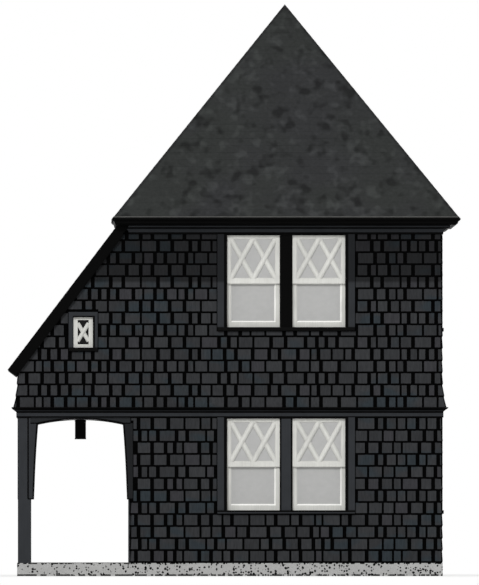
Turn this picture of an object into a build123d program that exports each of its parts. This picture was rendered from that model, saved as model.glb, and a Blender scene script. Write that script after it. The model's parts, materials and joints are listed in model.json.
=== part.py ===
"""A shingled two-storey house: a square main block under a pyramid roof, and on its left a wing
that stands over an open porch and is covered by a steep catslide roof.

Millimetres, +Z up, front towards -Y. The origin is at ground level in the middle of the foundation.
Walls are drawn to the boarding that carries the shingles. Each piece is written to parts/NAME.step."""

import os
from math import hypot

from build123d import *

# Plan, from outer wall face to outer wall face
main_width = 4820
wing_width = 1740
house_depth = 4820
wall_thickness = 195

# Levels above the ground
foundation_height = 200
belt_level = 2454
soffit_level = 5428

# Ledge of the foundation in front of the walls, floors and the porch ceiling
foundation_ledge = 12
ground_floor_thickness = 40
upper_floor_thickness = 200
ceiling_thickness = 12

# Belt between the storeys and the flare of the wall above it
belt_board_height = 88
belt_board_projection = 24
drip_height = 70
drip_projection = 97
drip_lip_height = 16
flare_height = 455
flare_projection = 64

# Eaves of the main roof
cove_foot_width = 20
cove_radius = 96
bed_fillet_width = 8
bed_height = 44
crown_fillet_height = 10
crown_radius = 32
crown_lip_height = 16
roof_overhang = 280

# Main roof, with its pitch as rise over run
roof_pitch_share = 1.255
roof_thickness = 250

# Catslide roof over the wing: from the top of the outer wall up to the main block, under its soffit
wing_wall_height = 537
catslide_head_gap = 13
catslide_thickness = 148
catslide_overhang = 156
rake_overhang = 40
rake_board_thickness = 28

# Window pairs, the same on three sides and both storeys
sash_width = 823
sash_height = 1426
mullion_width = 197
casing_width = 116
casing_thickness = 28
reveal_width = 26
head_strip_height = 12
sill_height = 54
sill_projection = 50
lining_thickness = 40
sash_thickness = 42
sash_setback = 14
sash_track_gap = 3
stile_width = 62
top_rail_height = 54
meeting_rail_height = 76
bottom_rail_height = 76
glass_thickness = 6

# Small window of the wing, with the plumb gap from its casing's corner to the slope above
small_sash_width = 301
small_sash_height = 476
small_sill_height = 922
small_rake_gap = 101
small_casing_width = 66
small_reveal_width = 8
small_stile_width = 66
small_rail_height = 50

# Porch
porch_side_bays = 3
post_size = 195
bracket_height = 1171
bracket_top_width = 100
bracket_middle_width = 60
bracket_bottom_width = 38
bracket_housing = 37
beam_drop = 90
arch_crown_depth = 14

# Porch lantern
lantern_width = 170
lantern_height = 304
lantern_wall = 5
canopy_width = 120
canopy_height = 15

# Entrance door, closed
door_width = 900
door_height = 2030
door_thickness = 45
door_setback = 70
door_casing_width = 110
threshold_height = 40
door_stile_width = 120
door_rail_height = 180
door_panel_recess = 12
door_gap = 0.3

# Every cut runs this far past the faces that it opens
overrun = 50

# Derived levels
storey_level = belt_level + belt_board_height + drip_height
upper_floor_level = belt_level + upper_floor_thickness
cornice_level = soffit_level - bed_height - cove_radius
eave_level = soffit_level + crown_fillet_height + 2 * crown_radius + crown_lip_height
beam_bottom = belt_level - beam_drop
ceiling_level = belt_level - ceiling_thickness
upper_sash_head = cornice_level - head_strip_height
lower_sash_head = belt_level - head_strip_height
small_sill = storey_level + small_sill_height
small_casing_top = small_sill + small_sash_height + small_reveal_width + small_casing_width
wing_wall_level = storey_level + wing_wall_height

# Derived plan
half_house = (main_width + wing_width) / 2
half_main = main_width / 2
half_depth = house_depth / 2
main_left = wing_width - half_house
main_centre = half_house - half_main
inner_left = wall_thickness - half_house
inner_right = half_house - wall_thickness
inner_depth = half_depth - wall_thickness
post_inner = post_size - half_house
soffit_projection = roof_overhang - 2 * crown_radius
apex_level = eave_level + (half_main + roof_overhang) * roof_pitch_share
sky_level = apex_level + overrun

# Derived slope of the catslide roof: its pitch as rise over run, its plumb thickness, and where its
# two faces end under the soffit
catslide_pitch = (soffit_level - wing_wall_level) / (wing_width - catslide_head_gap)
catslide_drop = catslide_thickness * hypot(1, catslide_pitch)
catslide_under_end = main_left - catslide_head_gap
catslide_top_end = catslide_under_end - catslide_drop / catslide_pitch

# Turns that carry a piece drawn on the front to each side of the house
SIDE_TURNS = {"front": 0, "right": 90, "left": 270}


# Shared operations


def block(along_x, along_y, along_z):
    """A box between a low and a high value on each axis."""
    spans = (along_x, along_y, along_z)
    sizes = [high - low for low, high in spans]
    corner = [low for low, high in spans]
    return Pos(*corner) * Box(*sizes, align=(Align.MIN, Align.MIN, Align.MIN))


def front_block(across, out, up):
    """A box on the front side, with its depth given outwards from the side's wall face at zero."""
    return block(across, (-out[1], -out[0]), up)


def front_prism(outline, out):
    """A closed outline of edges in the front view, given its depth outwards from the wall face."""
    face = Plane.XZ * make_face(outline)
    return Pos(0, -out[0], 0) * extrude(face, amount=out[1] - out[0], dir=(0, -1, 0))


def on_side(side, shape, face, centre=0):
    """Moves a piece drawn on the front, with the wall face at zero, out to one side of a block."""
    return Pos(centre, 0, 0) * Rot(0, 0, SIDE_TURNS[side]) * Pos(0, -face, 0) * shape


def back_of(shape):
    """The same piece on the back of the house."""
    return mirror(shape, about=Plane.XZ)


def mitred_run(section, length, reach_out, reach_in):
    """A section of edges drawn as (outwards, up), run along one side and mitred at both corners."""
    out_x, in_x = length / 2 + reach_out, length / 2 - reach_in
    start = Plane(origin=(out_x, 0, 0), x_dir=(0, -1, 0), z_dir=(-1, 0, 0))
    bar = extrude(start * make_face(section), amount=2 * out_x, dir=(-1, 0, 0))
    plan = Polyline(
        (-out_x, -reach_out), (out_x, -reach_out), (in_x, reach_in), (-in_x, reach_in), close=True
    )
    return bar & extrude(make_face(plan), amount=sky_level, dir=(0, 0, 1))


# Ground and floors


def foundation():
    """One slab under the rooms and the porch."""
    across, along = half_house + foundation_ledge, half_depth + foundation_ledge
    return block((-across, across), (-along, along), (0, foundation_height))


def ground_floor():
    across = (main_left + wall_thickness, inner_right)
    level = foundation_height + ground_floor_thickness
    return block(across, (-inner_depth, inner_depth), (foundation_height, level))


def upper_floor():
    up = (belt_level, upper_floor_level)
    return block((inner_left, inner_right), (-inner_depth, inner_depth), up)


def porch_ceiling(posts):
    up = (ceiling_level, belt_level)
    return block((inner_left, main_left), (-inner_depth, inner_depth), up) - posts


# Windows, drawn on the front with the wall face at zero


def pair_lights(centre):
    """The two sash openings of a window pair, as spans across the wall."""
    near, far = mullion_width / 2, mullion_width / 2 + sash_width
    return [(centre - far, centre - near), (centre + near, centre + far)]


def window_rows(centre):
    """Lights, sill and head of the lower and the upper window pair of one side."""
    heads = (lower_sash_head, upper_sash_head)
    return [(pair_lights(centre), head - sash_height, head) for head in heads]


def small_row():
    """Lights, sill and head of the wing's small window, set under the slope of the catslide roof."""
    casing_left = (small_casing_top + small_rake_gap - wing_wall_level) / catslide_pitch - half_house
    left = casing_left + small_casing_width + small_reveal_width
    return [(left, left + small_sash_width)], small_sill, small_sill + small_sash_height


def wall_hole(lights, sill, head):
    """The hole that a window's lining fills in its wall."""
    across = (lights[0][0] - lining_thickness, lights[-1][1] + lining_thickness)
    through = (-wall_thickness - overrun, overrun)
    return front_block(across, through, (sill - lining_thickness, head + lining_thickness))


def window_frame(row, casing, reveal, head_height, head_cut):
    """Casing boards round a set-back lining, with a projecting sill. The head cut is how far the
    reveal between the casing boards runs up past the sashes."""
    lights, sill, head = row
    left, right = lights[0][0], lights[-1][1]
    trim = (left - reveal - casing, right + reveal + casing)
    lining = (left - lining_thickness, right + lining_thickness)
    foot = sill - sill_height
    frame = front_block(trim, (0, casing_thickness), (foot, head + head_height))
    for light in lights:
        opened = (light[0] - reveal, light[1] + reveal)
        frame -= front_block(opened, (-overrun, overrun), (sill, head + head_cut))
    frame += front_block(trim, (0, sill_projection), (foot, sill))
    frame += front_block(
        lining, (-wall_thickness, 0), (sill - lining_thickness, head + lining_thickness)
    )
    for light in lights:
        frame -= front_block(light, (-wall_thickness - overrun, overrun), (sill, head))
    return frame


def sash(across, up, rails, stile, setback):
    """A sash ring and its pane, with the bottom and top rail heights given."""
    out = (-setback - sash_thickness, -setback)
    glazed_across = (across[0] + stile, across[1] - stile)
    glazed_up = (up[0] + rails[0], up[1] - rails[1])
    cut = front_block(glazed_across, (out[0] - overrun, out[1] + overrun), glazed_up)
    middle = (out[0] + out[1]) / 2
    pane_out = (middle - glass_thickness / 2, middle + glass_thickness / 2)
    return front_block(across, out, up) - cut, front_block(glazed_across, pane_out, glazed_up)


def hung_sashes(light, sill, head):
    """A double-hung window: the upper sash in the outer track, the lower one behind it."""
    middle = (sill + head) / 2
    low, high = middle - meeting_rail_height / 2, middle + meeting_rail_height / 2
    inner_setback = sash_setback + sash_thickness + sash_track_gap
    upper_rails = (meeting_rail_height, top_rail_height)
    lower_rails = (bottom_rail_height, meeting_rail_height)
    return [
        sash(light, (low, head), upper_rails, stile_width, sash_setback),
        sash(light, (sill, high), lower_rails, stile_width, inner_setback),
    ]


def pair_windows(centre):
    """Frames and glazed sashes of the window pairs of one side."""
    frames, glazed = [], []
    for row in window_rows(centre):
        lights, sill, head = row
        open_head = head_strip_height + overrun
        frames.append(window_frame(row, casing_width, reveal_width, head_strip_height, open_head))
        for light in lights:
            glazed += hung_sashes(light, sill, head)
    return frames, glazed


def small_window():
    """Frame and fixed sash of the wing's small window."""
    row = small_row()
    lights, sill, head = row
    head_height = small_reveal_width + small_casing_width
    frame = window_frame(row, small_casing_width, small_reveal_width, head_height, small_reveal_width)
    rails = (small_rail_height, small_rail_height)
    return frame, sash(lights[0], (sill, head), rails, small_stile_width, sash_setback)


# Entrance door, in the middle of the wall between the main block and the porch


def door_up():
    sill = foundation_height + threshold_height
    return (sill, sill + door_height)


def door_span(margin):
    """The door's width across the porch wall, widened by a margin."""
    return (-door_width / 2 - margin, door_width / 2 + margin)


def door_hole():
    through = (-wall_thickness - overrun, overrun)
    up = (foundation_height, door_up()[1] + lining_thickness)
    return front_block(door_span(lining_thickness), through, up)


def door_frame():
    """Casing, lining and threshold round the door."""
    head = door_up()[1]
    trim_up = (foundation_height, head + door_casing_width)
    frame = front_block(door_span(door_casing_width), (0, casing_thickness), trim_up)
    lining_up = (foundation_height, head + lining_thickness)
    frame += front_block(door_span(lining_thickness), (-wall_thickness, 0), lining_up)
    return frame - front_block(door_span(0), (-wall_thickness - overrun, overrun), door_up())


def door_leaf():
    """A framed door with two tall panels over two short ones, recessed on both faces."""
    sill, head = door_up()
    span = door_span(-door_gap)
    out = (-door_setback - door_thickness, -door_setback)
    leaf = front_block(span, out, (sill + door_gap, head - door_gap))
    panel = (span[1] - span[0] - 3 * door_stile_width) / 2
    lock_rail = (sill + head) / 2 - door_rail_height
    rows = [
        (sill + door_rail_height, lock_rail),
        (lock_rail + door_rail_height, head - door_rail_height),
    ]
    recesses = [
        (out[1] - door_panel_recess, out[1] + overrun),
        (out[0] - overrun, out[0] + door_panel_recess),
    ]
    for column in range(2):
        low = span[0] + door_stile_width + column * (panel + door_stile_width)
        for row in rows:
            for recess in recesses:
                leaf -= front_block((low, low + panel), recess, row)
    return leaf


# Walls


def lower_front_wall(bracket):
    """The front of the main block's lower storey, with the porch bracket let into its end."""
    up = (foundation_height, storey_level)
    wall = front_block((main_left, half_house), (-wall_thickness, 0), up)
    lights, sill, head = window_rows(main_centre)[0]
    return on_side("front", wall - wall_hole(lights, sill, head), half_depth) - bracket


def lower_right_wall():
    up = (foundation_height, storey_level)
    wall = front_block((-inner_depth, inner_depth), (-wall_thickness, 0), up)
    lights, sill, head = window_rows(0)[0]
    return on_side("right", wall - wall_hole(lights, sill, head), half_house)


def lower_left_wall():
    """The porch wall, which carries the upper floor and has the entrance door."""
    up = (foundation_height, belt_level)
    wall = front_block((-inner_depth, inner_depth), (-wall_thickness, 0), up)
    return on_side("left", wall - door_hole(), half_main, main_centre)


def flared_wall(length):
    """An upper wall whose foot kicks out over the belt, mitred with its neighbours."""
    flare_top = storey_level + flare_height
    section = [
        Line((-wall_thickness, storey_level), (flare_projection, storey_level)),
        TangentArc((0, flare_top), (flare_projection, storey_level), tangent=(0, -1)),
        Line((0, flare_top), (0, soffit_level)),
        Line((0, soffit_level), (-wall_thickness, soffit_level)),
        Line((-wall_thickness, soffit_level), (-wall_thickness, storey_level)),
    ]
    return mitred_run(section, length, flare_projection, wall_thickness)


def upper_front_wall(above_wing):
    """Runs from the wing's corner to the right one, under the slope of the catslide roof."""
    wall = flared_wall(2 * half_house)
    for lights, sill, head in (window_rows(main_centre)[1], small_row()):
        wall -= wall_hole(lights, sill, head)
    return on_side("front", wall, half_depth) - above_wing


def upper_right_wall():
    lights, sill, head = window_rows(0)[1]
    wall = flared_wall(house_depth) - wall_hole(lights, sill, head)
    return on_side("right", wall, half_house)


def upper_left_wall(above_wing):
    """The wing's low outer wall."""
    return on_side("left", flared_wall(house_depth), half_house) - above_wing


# Belt and eaves


def belt_run(length):
    """A flat board with a hollow drip moulding on top."""
    board_top = belt_level + belt_board_height
    lip = storey_level - drip_lip_height
    section = [
        Line((0, belt_level), (belt_board_projection, belt_level)),
        Line((belt_board_projection, belt_level), (belt_board_projection, board_top)),
        TangentArc((belt_board_projection, board_top), (drip_projection, lip), tangent=(0, 1)),
        Line((drip_projection, lip), (drip_projection, storey_level)),
        Line((drip_projection, storey_level), (0, storey_level)),
        Line((0, storey_level), (0, belt_level)),
    ]
    return mitred_run(section, length, drip_projection, 0)


def eave_edges(soffit_start):
    """The soffit from its start, the crown moulding and the top of an eave, back to the wall."""
    foot = soffit_level + crown_fillet_height
    waist = (soffit_projection + crown_radius, foot + crown_radius)
    brow = waist[1] + crown_radius
    return [
        Line(soffit_start, (soffit_projection, soffit_level)),
        Line((soffit_projection, soffit_level), (soffit_projection, foot)),
        TangentArc((soffit_projection, foot), waist, tangent=(1, 0)),
        TangentArc(waist, (roof_overhang, brow), tangent=(0, 1)),
        Line((roof_overhang, brow), (roof_overhang, eave_level)),
        Line((roof_overhang, eave_level), (-wall_thickness, eave_level)),
        Line((-wall_thickness, eave_level), (-wall_thickness, soffit_level)),
        Line((-wall_thickness, soffit_level), (0, soffit_level)),
    ]


def cornice_run(length):
    """A cove and bed moulding on the wall face, under a boxed eave that sits on the wall."""
    cove_top = cornice_level + cove_radius
    cove_out = cove_foot_width + cove_radius
    bed_out = cove_out + bed_fillet_width
    section = [
        Line((0, soffit_level), (0, cornice_level)),
        Line((0, cornice_level), (cove_foot_width, cornice_level)),
        CenterArc((cove_out, cornice_level), cove_radius, start_angle=90, arc_size=90),
        Line((cove_out, cove_top), (bed_out, cove_top)),
        Line((bed_out, cove_top), (bed_out, soffit_level)),
        *eave_edges((bed_out, soffit_level)),
    ]
    return mitred_run(section, length, roof_overhang, wall_thickness)


def plain_eave_run(length):
    """The boxed eave alone, where the catslide roof meets it from below."""
    return mitred_run(eave_edges((0, soffit_level)), length, roof_overhang, wall_thickness)


# Roofs


def roof_slope(run, half_eave):
    """One mitred slope of the pyramid, drawn on the front about the middle of the main block."""
    rise = apex_level - eave_level
    slant = hypot(run, rise)
    drop = roof_thickness * slant / run
    bearing = roof_thickness * slant / rise
    section = Polyline(
        (-run, eave_level),
        (0, apex_level),
        (0, apex_level - drop),
        (bearing - run, eave_level),
        close=True,
    )
    slab = extrude(Plane.YZ * make_face(section), amount=half_eave, both=True)
    plan = Polyline((0, 0), (-half_eave, -run), (half_eave, -run), close=True)
    return slab & extrude(make_face(plan), amount=sky_level, dir=(0, 0, 1))


def catslide_under(x):
    """Level of the catslide roof's lower face."""
    return wing_wall_level + (x + half_house) * catslide_pitch


def catslide_outline():
    """The catslide in the front view, square at its foot and cut level under the main eave."""
    slant = hypot(1, catslide_pitch)
    tip = -half_house - catslide_overhang
    brow = catslide_under(tip) + catslide_drop
    foot = (tip + catslide_thickness * catslide_pitch / slant, brow - catslide_thickness / slant)
    ends = (catslide_top_end, soffit_level), (catslide_under_end, soffit_level)
    return Polyline((tip, brow), *ends, foot, close=True)


def catslide_prism(reach):
    return front_prism(catslide_outline(), (-reach, reach))


def catslide_roof():
    return catslide_prism(half_depth + rake_overhang)


def front_rake_board():
    start = half_depth + rake_overhang
    return front_prism(catslide_outline(), (start, start + rake_board_thickness))


def space_above_wing():
    """Everything over the catslide's lower face, left of the main block."""
    left = -half_house - catslide_overhang - overrun
    outline = Polyline(
        (left, catslide_under(left)),
        (main_left, catslide_under(main_left)),
        (main_left, sky_level),
        (left, sky_level),
        close=True,
    )
    reach = half_depth + roof_overhang + overrun
    return front_prism(outline, (-reach, reach))


def wing_header():
    """The beam that carries the main roof where the upper room opens into the wing."""
    across = (main_left, main_left + wall_thickness)
    return block(across, (-inner_depth, inner_depth), (cornice_level, soffit_level))


# Porch


def post_starts():
    """Front edges of the posts along the outer side of the porch."""
    spacing = (house_depth - post_size) / porch_side_bays
    return [index * spacing - half_depth for index in range(porch_side_bays + 1)]


def porch_posts():
    across, up = (-half_house, post_inner), (foundation_height, belt_level)
    return [block(across, (start, start + post_size), up) for start in post_starts()]


def side_bays():
    """Clear spans between the posts."""
    starts = post_starts()
    return [(low + post_size, high) for low, high in zip(starts, starts[1:])]


def arch_cut(bay):
    """The space under a beam's flat arch, between the heads of the brackets."""
    start, end = bay[0] + bracket_top_width, bay[1] - bracket_top_width
    crown = ((start + end) / 2, belt_level - arch_crown_depth)
    low = beam_bottom - overrun
    outline = [
        ThreePointArc((start, beam_bottom), crown, (end, beam_bottom)),
        Line((end, beam_bottom), (end, low)),
        Line((end, low), (start, low)),
        Line((start, low), (start, beam_bottom)),
    ]
    return front_prism(outline, (-wall_thickness - overrun, overrun))


def arched_beam(across, bays):
    """A beam as thick as the wall above it, hollowed to a flat arch over each bay."""
    beam = front_block(across, (-wall_thickness, 0), (beam_bottom, storey_level))
    for bay in bays:
        beam -= arch_cut(bay)
    return beam


def bracket(support, toward):
    """A tapered bracket let into its support, leaning towards +1 or -1 across the bay."""
    low, high = beam_bottom - bracket_height, beam_bottom
    back = support - toward * bracket_housing
    widths = (bracket_bottom_width, bracket_middle_width, bracket_top_width)
    bottom, middle, top = [support + toward * width for width in widths]
    outline = [
        ThreePointArc((bottom, low), (middle, (low + high) / 2), (top, high)),
        Line((top, high), (back, high)),
        Line((back, high), (back, low)),
        Line((back, low), (bottom, low)),
    ]
    return front_prism(outline, (-wall_thickness, 0))


def bay_brackets(bay):
    return [bracket(bay[0], 1), bracket(bay[1], -1)]


def lantern():
    """A square downlight under the porch ceiling, open below."""
    half, inside, plate = lantern_width / 2, lantern_width / 2 - lantern_wall, canopy_width / 2
    top = ceiling_level - canopy_height
    bottom = top - lantern_height
    shell = block((-half, half), (-half, half), (bottom, top))
    shell -= block((-inside, inside), (-inside, inside), (bottom - overrun, top - lantern_wall))
    shell += block((-plate, plate), (-plate, plate), (top, ceiling_level))
    return Pos((post_inner + main_left) / 2, 0, 0) * shell


# The whole house


def window_nodes():
    """Frames, sashes and glass of the front, the right and the back."""
    frames, glazed = pair_windows(main_centre)
    small_frame, small_glazed = small_window()
    front = frames + [small_frame], glazed + [small_glazed]
    nodes = {}
    for side, face, (frames, glazed) in (
        ("front", half_depth, front),
        ("right", half_house, pair_windows(0)),
    ):
        nodes[side + "_window_frames"] = [on_side(side, frame, face) for frame in frames]
        nodes[side + "_window_sashes"] = [on_side(side, ring, face) for ring, pane in glazed]
        nodes[side + "_window_glass"] = [on_side(side, pane, face) for ring, pane in glazed]
    for kind in ("_window_frames", "_window_sashes", "_window_glass"):
        nodes["back" + kind] = [back_of(piece) for piece in nodes["front" + kind]]
    return nodes


def porch_nodes():
    posts = porch_posts()
    front_bay = (post_inner, main_left)
    front_brackets = [on_side("front", piece, half_depth) for piece in bay_brackets(front_bay)]
    brackets = front_brackets + [back_of(piece) for piece in front_brackets]
    for bay in side_bays():
        brackets += [on_side("left", piece, half_house) for piece in bay_brackets(bay)]
    front_beam = on_side("front", arched_beam((-half_house, main_left), [front_bay]), half_depth)
    side_beam = on_side("left", arched_beam((-inner_depth, inner_depth), side_bays()), half_house)
    return {
        "porch_brackets": brackets,
        "porch_posts": [post - brackets for post in posts],
        "front_porch_beam": [front_beam - posts],
        "side_porch_beam": [side_beam - posts],
        "back_porch_beam": [back_of(front_beam) - posts],
        "porch_ceiling": [porch_ceiling(posts)],
        "porch_lantern": [lantern()],
    }


def wall_nodes(wall_bracket):
    above_wing = space_above_wing()
    lower_front = lower_front_wall(wall_bracket)
    upper_front = upper_front_wall(above_wing)
    return {
        "lower_front_wall": [lower_front],
        "lower_right_wall": [lower_right_wall()],
        "lower_back_wall": [back_of(lower_front)],
        "lower_left_wall": [lower_left_wall()],
        "upper_front_wall": [upper_front],
        "upper_right_wall": [upper_right_wall()],
        "upper_back_wall": [back_of(upper_front)],
        "upper_left_wall": [upper_left_wall(above_wing)],
    }


def trim_nodes():
    front_belt = on_side("front", belt_run(2 * half_house), half_depth)
    front_cornice = on_side("front", cornice_run(main_width), half_depth, main_centre)
    front_cornice -= catslide_prism(half_depth + roof_overhang + overrun)
    rake_board = front_rake_board()
    return {
        "front_belt": [front_belt],
        "right_belt": [on_side("right", belt_run(house_depth), half_house)],
        "back_belt": [back_of(front_belt)],
        "left_belt": [on_side("left", belt_run(house_depth), half_house)],
        "front_cornice": [front_cornice],
        "right_cornice": [on_side("right", cornice_run(house_depth), half_main, main_centre)],
        "back_cornice": [back_of(front_cornice)],
        "left_eave": [on_side("left", plain_eave_run(house_depth), half_main, main_centre)],
        "rake_boards": [rake_board, back_of(rake_board)],
    }


def roof_nodes():
    eave_x, eave_y = half_main + roof_overhang, half_depth + roof_overhang
    front = on_side("front", roof_slope(eave_y, eave_x), 0, main_centre)
    return {
        "front_roof_slope": [front],
        "right_roof_slope": [on_side("right", roof_slope(eave_x, eave_y), 0, main_centre)],
        "back_roof_slope": [back_of(front)],
        "left_roof_slope": [on_side("left", roof_slope(eave_x, eave_y), 0, main_centre)],
        "catslide_roof": [catslide_roof()],
        "wing_header": [wing_header()],
    }


def house_nodes():
    porch = porch_nodes()
    wall_bracket = porch["porch_brackets"][1]
    nodes = {
        "foundation": [foundation()],
        "ground_floor": [ground_floor()],
        "upper_floor": [upper_floor()],
        "door_frame": [on_side("left", door_frame(), half_main, main_centre)],
        "entrance_door": [on_side("left", door_leaf(), half_main, main_centre)],
    }
    for group in (porch, wall_nodes(wall_bracket), trim_nodes(), roof_nodes(), window_nodes()):
        nodes.update(group)
    return nodes


os.makedirs("parts", exist_ok=True)
for name, pieces in house_nodes().items():
    solids = [solid for piece in pieces for solid in piece.solids()]
    export_step(Compound(children=solids) if len(solids) > 1 else solids[0], f"parts/{name}.step")
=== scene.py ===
"""Finishes of a shingle-clad house with a side porch: wall shingles, roof covering, window lattice,
porch work, paint and the stage, in metres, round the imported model."""

import json
import math
import random

import bmesh
import bpy
from mathutils import Euler, Matrix, Vector


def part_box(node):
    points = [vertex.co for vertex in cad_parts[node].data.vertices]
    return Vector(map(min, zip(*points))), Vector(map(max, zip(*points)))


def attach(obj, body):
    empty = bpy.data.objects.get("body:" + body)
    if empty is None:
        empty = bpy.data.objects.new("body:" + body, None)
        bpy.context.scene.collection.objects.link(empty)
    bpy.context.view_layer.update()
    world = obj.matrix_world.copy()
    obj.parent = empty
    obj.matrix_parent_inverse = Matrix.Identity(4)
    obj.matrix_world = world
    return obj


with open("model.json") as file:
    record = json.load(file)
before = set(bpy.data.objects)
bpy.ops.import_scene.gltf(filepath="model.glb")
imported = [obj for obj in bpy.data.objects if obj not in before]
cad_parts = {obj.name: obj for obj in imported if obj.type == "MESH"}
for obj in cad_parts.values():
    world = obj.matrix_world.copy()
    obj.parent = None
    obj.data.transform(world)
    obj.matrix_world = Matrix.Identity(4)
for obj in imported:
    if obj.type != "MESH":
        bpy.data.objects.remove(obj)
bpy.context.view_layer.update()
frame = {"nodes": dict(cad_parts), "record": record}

bl_info = {
    "name": "Shingle house finishes",
    "version": (1, 0, 0),
    "blender": (4, 5, 0),
    "location": "3D View > Sidebar > House",
    "description": "Shingles, windows, paint and stage for a shingle-clad house with a side porch",
    "category": "Object",
}

MM = 0.001
BODY = "root"
WHITE = (1.0, 1.0, 1.0, 1.0)

# Corners nearer than this are one
WELD = 0.01 * MM
# How much the edges of small boards and beads are eased
EASE = 1 * MM

# Turns that carry a piece drawn on the front, outwards towards -Y, to each side of the house
SIDE_TURNS = {"front": 0.0, "right": math.pi / 2, "back": math.pi, "left": -math.pi / 2}

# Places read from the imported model
HOUSE_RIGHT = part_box("lower_front_wall")[1].x
HOUSE_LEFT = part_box("porch_posts")[0].x
MAIN_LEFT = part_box("lower_front_wall")[0].x
FRONT_FACE = -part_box("lower_front_wall")[0].y
FOUNDATION_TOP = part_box("foundation")[1].z
BELT_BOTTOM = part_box("front_belt")[0].z
BELT_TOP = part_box("front_belt")[1].z
CEILING_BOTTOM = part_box("porch_ceiling")[0].z
CORNICE_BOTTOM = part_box("front_cornice")[0].z
SOFFIT_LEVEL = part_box("catslide_roof")[1].z
EAVE_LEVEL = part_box("front_roof_slope")[0].z
APEX_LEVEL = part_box("front_roof_slope")[1].z
EAVE_REACH = -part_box("front_roof_slope")[0].y
ROOF_CENTRE = (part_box("front_roof_slope")[0].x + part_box("front_roof_slope")[1].x) / 2
FLARE_OUT = -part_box("upper_front_wall")[0].y - FRONT_FACE
ROOF_RUN = EAVE_REACH / (APEX_LEVEL - EAVE_LEVEL)
ROOF_PLACE = Matrix.Translation((ROOF_CENTRE, 0, 0))

# Sides with windows, with the distance of their faces from the middle, and the beams of the open bays
WINDOW_FACES = {"front": FRONT_FACE, "right": HOUSE_RIGHT, "back": FRONT_FACE}
BAY_BEAMS = {"front": "front_porch_beam", "back": "back_porch_beam", "left": "side_porch_beam"}


def linear(code):
    """An sRGB hex code as the linear colour that shaders take."""
    parts = [int(code[place:place + 2], 16) / 255 for place in (1, 3, 5)]
    return tuple(p / 12.92 if p <= 0.04045 else ((p + 0.055) / 1.055) ** 2.4 for p in parts)


def length(name, description, default):
    return bpy.props.FloatProperty(
        name=name, description=description, default=default, min=0.0, unit="LENGTH", precision=4
    )


def number(name, description, default):
    return bpy.props.FloatProperty(name=name, description=description, default=default)


def colour(name, description, code):
    return bpy.props.FloatVectorProperty(
        name=name, description=description, default=linear(code), min=0.0, max=1.0, size=3, subtype="COLOR"
    )


class WallShingleSizes(bpy.types.PropertyGroup):
    """Sizes of the wall shingles"""

    exposure: length("Exposure", "Height of a course that shows", 0.186)
    narrow: length("Narrowest", "Width of the narrowest shingle", 0.074)
    wide: length("Widest", "Width of the widest shingle", 0.252)
    bias: number("Narrow bias", "How much more common narrow shingles are than wide ones", 1.35)
    tight_gap: length("Tight gap", "Closed joint between two shingles", 0.034)
    open_gap: length("Open gap", "Open joint between two shingles", 0.060)
    butt: length("Butt", "Thickness over the lower edge", 0.015)
    lip: length("Lip", "Thickness of the lower edge itself", 0.005)
    tip: length("Tip", "Thickness of the upper edge", 0.003)
    # The sloping butt is black, as end grain and as painted shadow under each course
    undercut: length("Undercut", "Height of the sloping lower edge", 0.030)
    lap: length("Lap", "Length tucked under the next course", 0.002)
    trim_gap: length("Trim gap", "Open joint beside casings, belt and cornice", 0.012)
    tuck: length("Tuck", "How far the upper courses start under the belt's top", 0.035)
    corner_gap: length("Corner gap", "Open joint where two walls meet", 0.020)
    flare_height: length("Flare height", "Height of the flare over the belt", 0.455)
    # The band of painted eave shadow on the upper walls and casings reaches this far under the soffit
    eave_shadow_depth: length("Eave shadow", "Depth of the unfaded band under the eaves", 0.88)
    drip: length("Drip", "Height of the bevelled moulding under the belt's drip", 0.052)
    drip_inset: length("Drip inset", "How far that moulding stays behind the drip", 0.004)


class RoofSizes(bpy.types.PropertyGroup):
    """Sizes of the roof covering"""

    exposure: length("Exposure", "Length of a course that shows", 0.142)
    narrow: length("Narrowest", "Width of the narrowest shingle", 0.110)
    wide: length("Widest", "Width of the widest shingle", 0.320)
    bias: number("Narrow bias", "How much more common narrow shingles are than wide ones", 1.0)
    gap: length("Gap", "Joint between two shingles", 0.003)
    butt: length("Butt", "Thickness over the lower edge", 0.004)
    lip: length("Lip", "Thickness of the lower edge itself", 0.003)
    tip: length("Tip", "Thickness of the upper edge", 0.0015)
    undercut: length("Undercut", "Height of the sloping lower edge", 0.002)
    lap: length("Lap", "Length tucked under the next course", 0.020)
    cap_width: length("Cap width", "Width of a hip cap on each slope", 0.036)
    upstand: length("Upstand", "Height of the black board along the roof's edge", 0.028)
    strip_height: length("Strip height", "Height of the zinc strip on that board", 0.014)
    strip_reach: length("Strip reach", "How far board and strip stand off the roof's edge", 0.012)
    strip_depth: length("Strip depth", "Depth of board and strip, back into the slope", 0.020)
    # The black fillet under the rake boards also stands as painted shadow under them
    fillet: length("Rake fillet", "Height of the fillet under the rake boards", 0.020)
    fillet_stand: length("Fillet stand", "How far off the wall a fillet starts", 0.020)
    fillet_inset: length("Fillet inset", "How far a fillet stays behind its rake board", 0.004)


class WindowSizes(bpy.types.PropertyGroup):
    """Sizes of the window bars and boards"""

    bar_width: length("Bar width", "Width of a lattice bar", 0.078)
    small_bar_width: length("Small bar width", "Width of a bar in the small window", 0.062)
    small_rise: number("Small rise", "Height of the small window's cross as a share of its pane", 0.74)
    bar_depth: length("Bar depth", "How far a bar stands off the glass", 0.012)
    halving: length("Halving", "Step between two bars where they cross", 0.0004)
    bead: length("Bead", "Width of the glazing bead round a pane", 0.012)
    # The lower panes' right and bottom beads are wider and whiter as a painted highlight
    highlight_bead_width: length("Bead highlight", "Width of the renewed beads of the lower panes", 0.022)
    casing: length("Casing", "How far the casings stand off the wall", 0.028)
    reveal: length("Reveal", "Open joint between a sash and its casing", 0.026)
    mullion_board: length("Mullion board", "Thickness of mullion boards and stop beads", 0.005)
    stop_cover: length("Stop cover", "How far a stop bead lies over the casing", 0.014)
    stop_lap: length("Stop lap", "How far a stop bead lies over the sash", 0.008)
    small_stop: length("Small stop", "Width of the stop bead beside a small sash", 0.030)


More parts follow.
